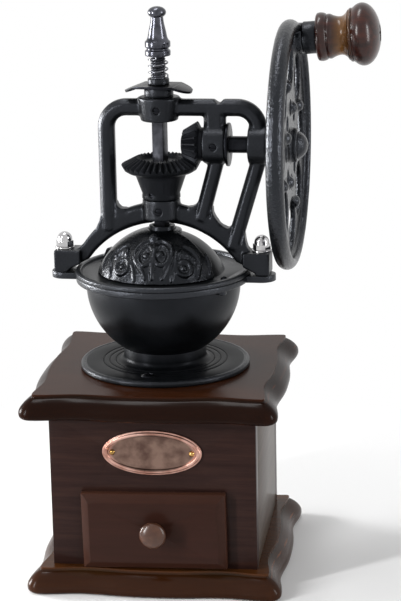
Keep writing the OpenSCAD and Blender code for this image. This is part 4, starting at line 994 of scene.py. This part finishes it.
@dataclass
class Bridge:
    """Bridge casting that carries the shafts, with its bolts and nuts. Sizes in millimetres."""

    voxel: float = 0.55
    relax: int = 5
    web_y: float = 3.7
    webs: tuple[Outline, ...] = (
        ((45.2, 185), (45.6, 180.5), (46.6, 177), (48.6, 174.6), (42, 174)),
        ((37.9, 188.8), (36.2, 187.3), (33.6, 188.6), (36, 183)),
        ((27.9, 199.2), (28.2, 195.6), (29.4, 193.2), (31.4, 190.6), (26, 189)),
        ((20.3, 202.2), (18.9, 200), (17, 199), (14.5, 198.8), (18, 195)),
        ((-24.5, 201.5), (-23.6, 198.9), (-21.8, 197.6), (-19, 197.6), (-25, 191)),
        ((-33.3, 193.5), (-34, 190.5), (-35.8, 187), (-30, 184)),
        ((-43.6, 177.4), (-45.4, 175.6), (-48, 174.7), (-42, 173.5)))

    def web(self, corners: Outline) -> BMesh:
        """A flat wedge that rounds the corner between a bar and the arch.

        Args:
            corners: Its outline in the X-Z plane.

        Returns:
            The closed wedge, turned with the mill.
        """
        shape = bmesh.new()
        shape.faces.new([shape.verts.new((x * MM, -self.web_y * MM, z * MM)) for x, z in corners])
        made = bmesh.ops.extrude_face_region(shape, geom=shape.faces)
        moved = [item for item in made["geom"] if isinstance(item, bmesh.types.BMVert)]
        bmesh.ops.translate(shape, verts=moved, vec=(0, 2 * self.web_y * MM, 0))
        bmesh.ops.recalc_face_normals(shape, faces=shape.faces)
        return placed(shape, HEAD)

    def build(self) -> None:
        """Makes the casting's soft skin and dresses its fasteners."""
        shape = cast(joined([node_copy("bridge"), *map(self.web, self.webs)]), self.voxel, self.relax)
        finished(shape, "bridge_casting", IRON, "case", ["bridge"], angle=70)
        trimmed("ear_bolts", DARK_STEEL, "case", 0.3)
        trimmed("ear_washers", PLATING, "case", 0.15)
        trimmed("acorn_nuts", PLATING, "case", 0.3)
        trimmed("collar_screws", DARK_STEEL, "case", 0.15)


@dataclass
class Crank:
    """Drive shaft with its pinion and hand wheel. Sizes in millimetres."""

    voxel: float = 0.6
    relax: int = 4

    def build(self) -> None:
        """Makes the wheel's soft skin and dresses the turned parts."""
        shape = cast(node_copy("hand_wheel"), self.voxel, self.relax)
        finished(shape, "hand_wheel_casting", WHEEL_IRON, "crank", ["hand_wheel"], angle=70)
        trimmed("drive_shaft", DARK_STEEL, "crank", 0.3)
        trimmed("pinion", GEAR_IRON, "crank", 0.12, angle=35)
        repainted("pinion_pin", BRIGHT_STEEL)
        trimmed("thrust_washer", DARK_STEEL, "crank", 0.25)
        trimmed("wheel_nut", WHEEL_IRON, "crank", 0.3)
        trimmed("handle_bolt", DARK_STEEL, "crank", 0.25)
        trimmed("handle_spacer", IRON, "crank", 0.5)


@dataclass
class Grip:
    """Turned wooden knob of the handle. Sizes in millimetres, shape as shares of its radius and length."""

    radius: float = 16.6
    length: float = 33.69
    start: float = 8.3
    bore_r: float = 2.6
    recess_r: float = 4.5
    recess_d: float = 3.4
    head_from: float = 0.72

    def outline(self) -> Outline:
        """The knob from its bore over the collar, waist and head to the recess for the bolt's head."""
        collar = flowing([(0.7, 0), (0.755, 0.02), (0.775, 0.07), (0.755, 0.125), (0.722, 0.155)], 4)
        groove = [(0.695, 0.164), (0.712, 0.176)]
        waist = flowing([(0.716, 0.2), (0.705, 0.225), (0.66, 0.27), (0.622, 0.33), (0.612, 0.375), (0.635, 0.42),
                         (0.7, 0.462), (0.775, 0.49)], 5)
        beads = [(0.8, 0.499), (0.78, 0.505), (0.81, 0.511), (0.845, 0.524), (0.858, 0.542), (0.85, 0.556),
                 (0.832, 0.563), (0.862, 0.572)]
        head = [(r, self.head_from + (1 - self.head_from) * z) for r, z in arc(1, -28, 73, 30)]
        shares = [*((p[0], p[1]) for p in collar), *groove, *((p[0], p[1]) for p in waist), *beads, *head]
        skin = [(r * self.radius, z * self.length) for r, z in shares]
        top = skin[-1][1]
        mouth = [(self.recess_r, top), (self.recess_r, self.length - self.recess_d),
                 (self.bore_r, self.length - self.recess_d), (self.bore_r, 0)]
        return [*skin, *mouth]

    def build(self) -> None:
        """Turns the knob and sets it on the handle's tilted axis."""
        joint = JOINTS["handle_turn"]
        axis = Vector(joint["axis"])
        foot = Vector(joint["pos_m"]) + axis * self.start * MM
        turn = axis.to_track_quat("Z", "Y").to_matrix().to_4x4()
        shape = placed(spun(self.outline(), steps=96, closed=True), Matrix.Translation(foot) @ turn)
        finished(shape, "handle_knob_turned", GRIP_WOOD, "handle", ["handle_knob"])


@dataclass
class GearAndSpindle:
    """Large bevel gear, square spindle, burrs and finial. Sizes in millimetres."""

    button_r: float = 4.9
    button_h: float = 3.2
    ring_r: float = 6.8
    bore_r: float = 4.05
    bore_h: float = 11.0

    def finial_outline(self, height: float) -> Outline:
        """The finial from its bore over two rings, the cone and the neck to the button."""
        neck = height - 6.4
        lower = [(self.bore_r, self.bore_h), (self.bore_r, 0), (self.ring_r, 0), (self.ring_r, 2.8),
                 (self.ring_r - 0.95, 3.3), (self.ring_r - 0.95, 4.1), (self.ring_r, 4.6), (self.ring_r, 7.4),
                 (self.ring_r - 0.6, 8.0)]
        cone = [(p[0], p[1]) for p in flowing([(self.ring_r - 0.9, 8.3), (self.ring_r - 1.6, 9.9),
                                               (4.5, 13.5), (3.7, 17.0), (3.35, neck)], 6)]
        button = [(r * self.button_r, height - self.button_h + z * self.button_h) for r, z in arc(1, -48, 90, 20)]
        return [(0, self.bore_h), *rounded(lower, 0.5), *cone, *button]

    def build(self) -> None:
        """Dresses the gear, the spindle and the burrs, and turns the finial."""
        trimmed("bevel_gear", GEAR_IRON, "gear", 0.15, angle=35)
        trimmed("gear_screw", DARK_STEEL, "gear", 0.12)
        trimmed("spindle", SPINDLE_STEEL, "spindle", 0.2)
        repainted("inner_burr", BURR_IRON)
        repainted("burr_nut", BRIGHT_STEEL)
        low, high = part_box("finial")
        shape = spun(self.finial_outline((high.z - low.z) / MM), steps=72)
        finished(placed(shape, Matrix.Translation((0, 0, low.z))), "finial_turned", FINIAL_PLATING, "spindle",
                 ["finial"])


@dataclass
class Adjuster:
    """Adjusting nut, lock plate, spring seat and spring. Sizes in millimetres."""

    wire_d: float = 0.9
    coil_r: float = 5.0
    turns: float = 2.75
    lift: float = 2.5

    def spring_path(self, low: float, high: float) -> list[Vector]:
        """The wire's middle line: a helix with a short straight run at each end."""
        start = low + 1.5 * self.wire_d
        rise = high - self.wire_d * 1.5 - start
        steps = round(self.turns * 32)
        helix = []
        for i in range(steps + 1):
            turn = 2 * math.pi * self.turns * i / steps
            helix.append(Vector((self.coil_r * math.cos(turn), self.coil_r * math.sin(turn),
                                 start + rise * i / steps)))
        first, last = helix[0].copy(), helix[-1].copy()
        first.z, last.z = low, high
        return [first, *helix, last]

    def build(self) -> None:
        """Dresses the nut, the lock plate and the seat, and winds the spring."""
        trimmed("adjusting_nut", IRON, "adjuster", 0.4)
        trimmed("lock_plate", DARK_STEEL, "lock", 0.25)
        trimmed("spring_seat", IRON, "lock", 0.3)
        low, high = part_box("spring")
        shape = placed(rod(self.spring_path(low.z / MM, high.z / MM), self.wire_d / 2, sides=10), HEAD)
        finished(shape, "spring_wound", BRIGHT_STEEL, "spindle", ["spring"], angle=60)
        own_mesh(bpy.data.objects["spring_wound"])


# Studio


@dataclass
class Studio:
    """Pale floor, soft lamps, world and camera at the photograph's place."""

    azimuth: float = 8.69
    elevation: float = 14.94
    roll: float = -1.43
    distance: float = 1.19094
    target_z: float = 0.14614
    focal_px: float = 2190.95
    middle_px: tuple[float, float] = (163.98, 300.5)
    image_px: tuple[int, int] = (401, 601)
    sensor_mm: float = 36.0

    def camera(self) -> None:
        """Places the camera."""
        a, b, roll = (math.radians(angle) for angle in (self.azimuth, self.elevation, self.roll))
        back = Vector((math.sin(a) * math.cos(b), -math.cos(a) * math.cos(b), math.sin(b)))
        right = Vector((math.cos(a), math.sin(a), 0))
        up = back.cross(right)
        tilted_right = right * math.cos(roll) + up * math.sin(roll)
        tilted_up = up * math.cos(roll) - right * math.sin(roll)
        place = Vector((0, 0, self.target_z)) + back * self.distance
        data = bpy.data.cameras.new("camera")
        data.sensor_fit = "HORIZONTAL"
        data.sensor_width = self.sensor_mm
        data.lens = self.sensor_mm * self.focal_px / self.image_px[0]
        data.shift_x = 0.5 - self.middle_px[0] / self.image_px[0]
        data.clip_start = 0.05
        camera = bpy.data.objects.new("camera", data)
        camera.matrix_world = Matrix.Translation(place) @ Matrix(
            (tilted_right, tilted_up, back)).transposed().to_4x4()
        bpy.context.scene.collection.objects.link(camera)
        bpy.context.scene.camera = camera

    def lamp(self, name: str, place: Sequence[float], size: tuple[float, float], watts: float) -> None:
        """Adds a soft box that faces the mill.

        Args:
            name: The lamp's name.
            place: Its place in metres.
            size: Its width and height in metres.
            watts: Its power.
        """
        data = bpy.data.lights.new(name, "AREA")
        data.shape = "RECTANGLE"
        data.size, data.size_y = size
        data.energy = watts
        lamp = bpy.data.objects.new(name, data)
        lamp.location = place
        towards = Vector((0, 0, 0.15)) - Vector(place)
        lamp.rotation_euler = towards.to_track_quat("-Z", "Y").to_euler()
        bpy.context.scene.collection.objects.link(lamp)

    def world(self) -> None:
        """White for the camera and for reflections, pale grey as light."""
        world = bpy.data.worlds.new("studio")
        world.use_nodes = True
        tree = world.node_tree
        path = add_node(tree, "ShaderNodeLightPath")
        seen = add_node(tree, "ShaderNodeMath",
                        links={0: path.outputs["Is Camera Ray"], 1: path.outputs["Is Transmission Ray"]},
                        operation="MAXIMUM")
        shiny = add_node(tree, "ShaderNodeMath",
                         links={0: seen.outputs["Value"], 1: path.outputs["Is Glossy Ray"]}, operation="MAXIMUM")
        light = add_node(tree, "ShaderNodeBackground", {"Color": (1, 1, 1, 1), "Strength": 0.36})
        white = add_node(tree, "ShaderNodeBackground", {"Color": (1, 1, 1, 1), "Strength": 1.0})
        mix = add_node(tree, "ShaderNodeMixShader",
                       links={0: shiny.outputs["Value"], 1: light.outputs[0], 2: white.outputs[0]})
        tree.links.new(mix.outputs[0], tree.nodes["World Output"].inputs["Surface"])
        bpy.context.scene.world = world

    def floor(self) -> None:
        """A round pale floor that fades into the white backdrop."""
        shape = bmesh.new()
        bmesh.ops.create_circle(shape, cap_ends=True, segments=96, radius=1.6)
        mesh = bpy.data.meshes.new("floor")
        shape.to_mesh(mesh)
        shape.free()
        made = bpy.data.materials.new("pale_floor")
        made.use_nodes = True
        tree = made.node_tree
        shader = tree.nodes["Principled BSDF"]
        shader.inputs["Base Color"].default_value = (0.9, 0.9, 0.9, 1)
        shader.inputs["Roughness"].default_value = 0.7
        place = add_node(tree, "ShaderNodeTexCoord").outputs["Object"]
        reach = add_node(tree, "ShaderNodeVectorMath", links={0: place}, operation="LENGTH")
        fade = add_node(tree, "ShaderNodeMapRange", {"From Min": 0.12, "From Max": 0.3},
                        {"Value": reach.outputs["Value"]}, interpolation_type="SMOOTHSTEP")
        path = add_node(tree, "ShaderNodeLightPath")
        seen = add_node(tree, "ShaderNodeMath",
                        links={0: path.outputs["Is Camera Ray"], 1: path.outputs["Is Glossy Ray"]},
                        operation="MAXIMUM")
        share = add_node(tree, "ShaderNodeMath",
                         links={0: fade.outputs["Result"], 1: seen.outputs["Value"]}, operation="MULTIPLY")
        white = add_node(tree, "ShaderNodeEmission", {"Color": (1, 1, 1, 1), "Strength": 1.0})
        mix = add_node(tree, "ShaderNodeMixShader",
                       links={0: share.outputs["Value"], 1: shader.outputs[0], 2: white.outputs[0]})
        tree.links.new(mix.outputs[0], tree.nodes["Material Output"].inputs["Surface"])
        mesh.materials.append(made)
        floor = bpy.data.objects.new("floor", mesh)
        bpy.context.scene.collection.objects.link(floor)

    def build(self) -> None:
        """Sets up floor, lamps, world and camera."""
        self.camera()
        self.world()
        self.floor()
        self.lamp("left_softbox", (-0.85, -0.8, 0.45), (0.08, 0.9), 15)
        self.lamp("left_edge_softbox", (-1.15, 0.24, 0.26), (0.34, 0.5), 24)
        self.lamp("right_softbox", (1.1, -0.35, 0.45), (0.14, 0.8), 7)
        self.lamp("top_softbox", (-0.15, 0.1, 1.2), (0.5, 0.2), 4)
        bpy.context.scene.view_settings.view_transform = "Standard"


def main() -> None:
    """Builds the sub-assemblies in order."""
    logging.basicConfig(level=logging.INFO, format="%(message)s")
    Studio().build()
    for assembly in (WoodenCase(), OvalPlate(), Drawer(), Bowl(), Dome(), Bridge(), Crank(), Grip(),
                     GearAndSpindle(), Adjuster()):
        assembly.build()
        log.info("%s done", type(assembly).__name__)


if __name__ == "__main__":
    main()
